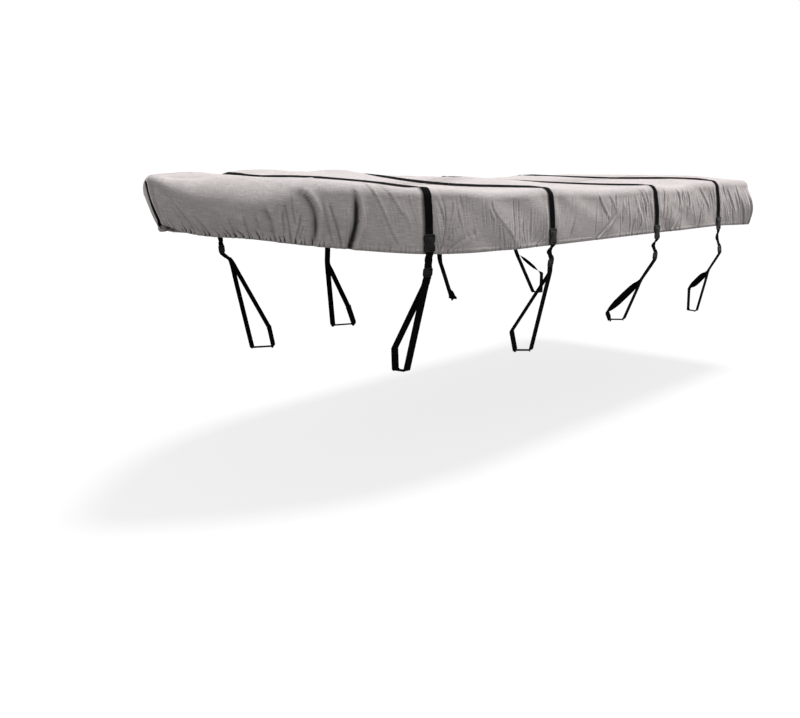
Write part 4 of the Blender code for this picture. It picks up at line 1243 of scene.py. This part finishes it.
def stemShadeSheet():
    # a black webbing sheet over the seam's starboard side, drawn to nothing at its top; it is a painted
    # shade, standing for the shade on the starboard side of the bow
    columns = stemShadeSize["columns"]
    run = np.linspace(stemShadeSize["startAt"], stemShadeSize["startAt"] + stemShadeSize["wide"], 48)
    points = coverSurface(run, "starboard")[0][:, 1:len(hemTurns) + len(wallSteps)]
    heights = [0.0] * (len(hemTurns) - 1) + list(wallSteps)
    rows = points.shape[1]
    grid = np.zeros((columns, rows, 3))
    for row in range(rows):
        share = 1.0 - stemShadeSize["taper"] * heights[row]
        wanted = run[0] + np.linspace(0.0, 1.0, columns) * stemShadeSize["wide"] * share
        for axis in range(3):
            grid[:, row, axis] = np.interp(wanted, run, points[:, row, axis])
        _, _, outX, outY = outlinePoint(wanted)
        grid[:, row, 0] += outX * stemShadeSize["proud"]
        grid[:, row, 1] += outY * stemShadeSize["proud"]
    grid = grid[::-1]
    mesh, quads = gridMesh("stem_shade_sheet", grid)
    high = np.broadcast_to(np.linspace(0.0, 0.4, rows)[None, :], (columns, rows))
    wide = np.broadcast_to(np.linspace(0.0, stemShadeSize["wide"], columns)[:, None], (columns, rows))
    addUv(mesh, quads, high, wide)
    thing = thicken(placeObject("stem_shade_sheet", mesh, webMaterial), stemShadeSize["thick"], 1.0)
    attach(thing, "root")
    return thing


def tackLines():
    # a box with a cross, where each end of a top strap is sewn back on itself
    lines = []
    for start, up, across, out in strapEnds:
        start = start + out * (webbing["thick"] / 2 + 0.0006)
        low, high, half = tacks["above"], tacks["above"] + tacks["long"], tacks["wide"] / 2
        square = ((low, -half), (low, half), (high, half), (high, -half))
        corners = [start + up * z + across * y for z, y in square]
        a, b, c, d = corners
        lines += [np.array((a, b, c, d, a)), np.array((a, c)), np.array((b, d))]
    return lines


lockstitch, roundPiping = stitchTree(), pipingTree()
clothSizes = {"Finish": clothThread, **stitches}
hemStitching = alongLines("hem_stitching", hemLines(), lockstitch, clothSizes)
seamLines = [seamLine(side * stitches["seamOff"], stitches["proud"]) for side in (-1, 1)]
seamStitching = alongLines("seam_stitching", seamLines, lockstitch, clothSizes)
seamPiping = alongLines("seam_piping", [seamLine(0.0, piping["proud"])], roundPiping,
                        {"Finish": pipingHighlightCloth, **piping})
boxTacks = alongLines("strap_tacks", tackLines(), lockstitch, {"Finish": webThread, **tacks})
bowShadeSheet = stemShadeSheet()

for panelName, (panel, panelArea) in panels.items():
    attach(panel, "root")
    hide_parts("cover_cloth")

studio = {
    "floorZ": -2.11,
    "floorSide": 120.0,
    "floor": "5a5a5a",
    "floorGlow": 0.78,       # an underlit sweep, so the shadow on it stays faint
    "sky": 0.95,
    "ground": 0.43,
    # name, where it comes from, strength, spread in degrees; the low one from aft draws the folds out, and
    # the weak one from ahead lifts the bow
    "lights": (("key", (0.26, -0.05, 1.0), 4.9, 14.0), ("rake", (0.90, -0.36, 0.18), 0.42, 8.0),
               ("fill", (-0.90, -0.22, 0.50), 0.60, 30.0)),
}


def makeFloor():
    half = studio["floorSide"] / 2
    mesh = bpy.data.meshes.new("floor")
    corners = [(x * half, y * half, studio["floorZ"]) for x, y in ((-1, -1), (1, -1), (1, 1), (-1, 1))]
    mesh.from_pydata(corners, [], [(0, 1, 2, 3)])
    material, _, shader = newMaterial("matt_pale_floor")
    shader.inputs["Base Color"].default_value = linear(studio["floor"])
    shader.inputs["Roughness"].default_value = 1.0
    shader.inputs["Specular IOR Level"].default_value = 0.0
    shader.inputs["Emission Color"].default_value = (1.0, 1.0, 1.0, 1.0)
    shader.inputs["Emission Strength"].default_value = studio["floorGlow"]
    floor = placeObject("floor", mesh, material)
    floor.visible_diffuse = floor.visible_glossy = False


def makeLights():
    world = bpy.data.worlds.new("studio")
    bpy.context.scene.world = world
    world.use_nodes = True
    tree = world.node_tree
    tree.nodes.clear()
    # the backdrop shows white, and lights the cover less than it shows
    path = addNode(tree, "ShaderNodeLightPath")
    way = addNode(tree, "ShaderNodeTexCoord")
    height = addNode(tree, "ShaderNodeSeparateXYZ", links={0: way.outputs["Generated"]})
    strength = addNode(tree, "ShaderNodeMapRange",
                       {"From Min": -0.10, "From Max": 0.25, "To Min": studio["ground"],
                        "To Max": studio["sky"]}, {"Value": height.outputs["Z"]})
    dim = addNode(tree, "ShaderNodeBackground", {"Color": (1.0, 1.0, 1.0, 1.0)},
                  {"Strength": strength.outputs[0]})
    bright = addNode(tree, "ShaderNodeBackground", {"Color": (1.0, 1.0, 1.0, 1.0), "Strength": 1.0})
    mix = addNode(tree, "ShaderNodeMixShader", links={0: path.outputs["Is Camera Ray"], 1: dim.outputs[0],
                                                      2: bright.outputs[0]})
    addNode(tree, "ShaderNodeOutputWorld", links={"Surface": mix.outputs[0]})
    for name, comesFrom, strong, wide in studio["lights"]:
        light = bpy.data.lights.new(name, "SUN")
        light.energy, light.angle = strong, math.radians(wide)
        thing = linkObject(name, light)
        thing.rotation_euler = Vector(comesFrom).to_track_quat("Z", "Y").to_euler()


cameraPlace = {"place": (-8.053, -5.966, 0.53), "heading": 40.03, "down": 7.436, "lens": 50.0,
               "sensor": 36.0, "shiftY": -0.12}


def makeCamera():
    data = bpy.data.cameras.new("camera")
    data.lens, data.sensor_width = cameraPlace["lens"], cameraPlace["sensor"]
    data.shift_y = cameraPlace["shiftY"]
    thing = linkObject("camera", data)
    heading, down = math.radians(cameraPlace["heading"]), math.radians(cameraPlace["down"])
    look = Vector((math.cos(heading) * math.cos(down), math.sin(heading) * math.cos(down), -math.sin(down)))
    thing.location = cameraPlace["place"]
    thing.rotation_euler = look.to_track_quat("-Z", "Y").to_euler()
    bpy.context.scene.camera = thing


makeFloor()
makeLights()
makeCamera()
bpy.context.scene.view_settings.view_transform = "Standard"

print("scene done")
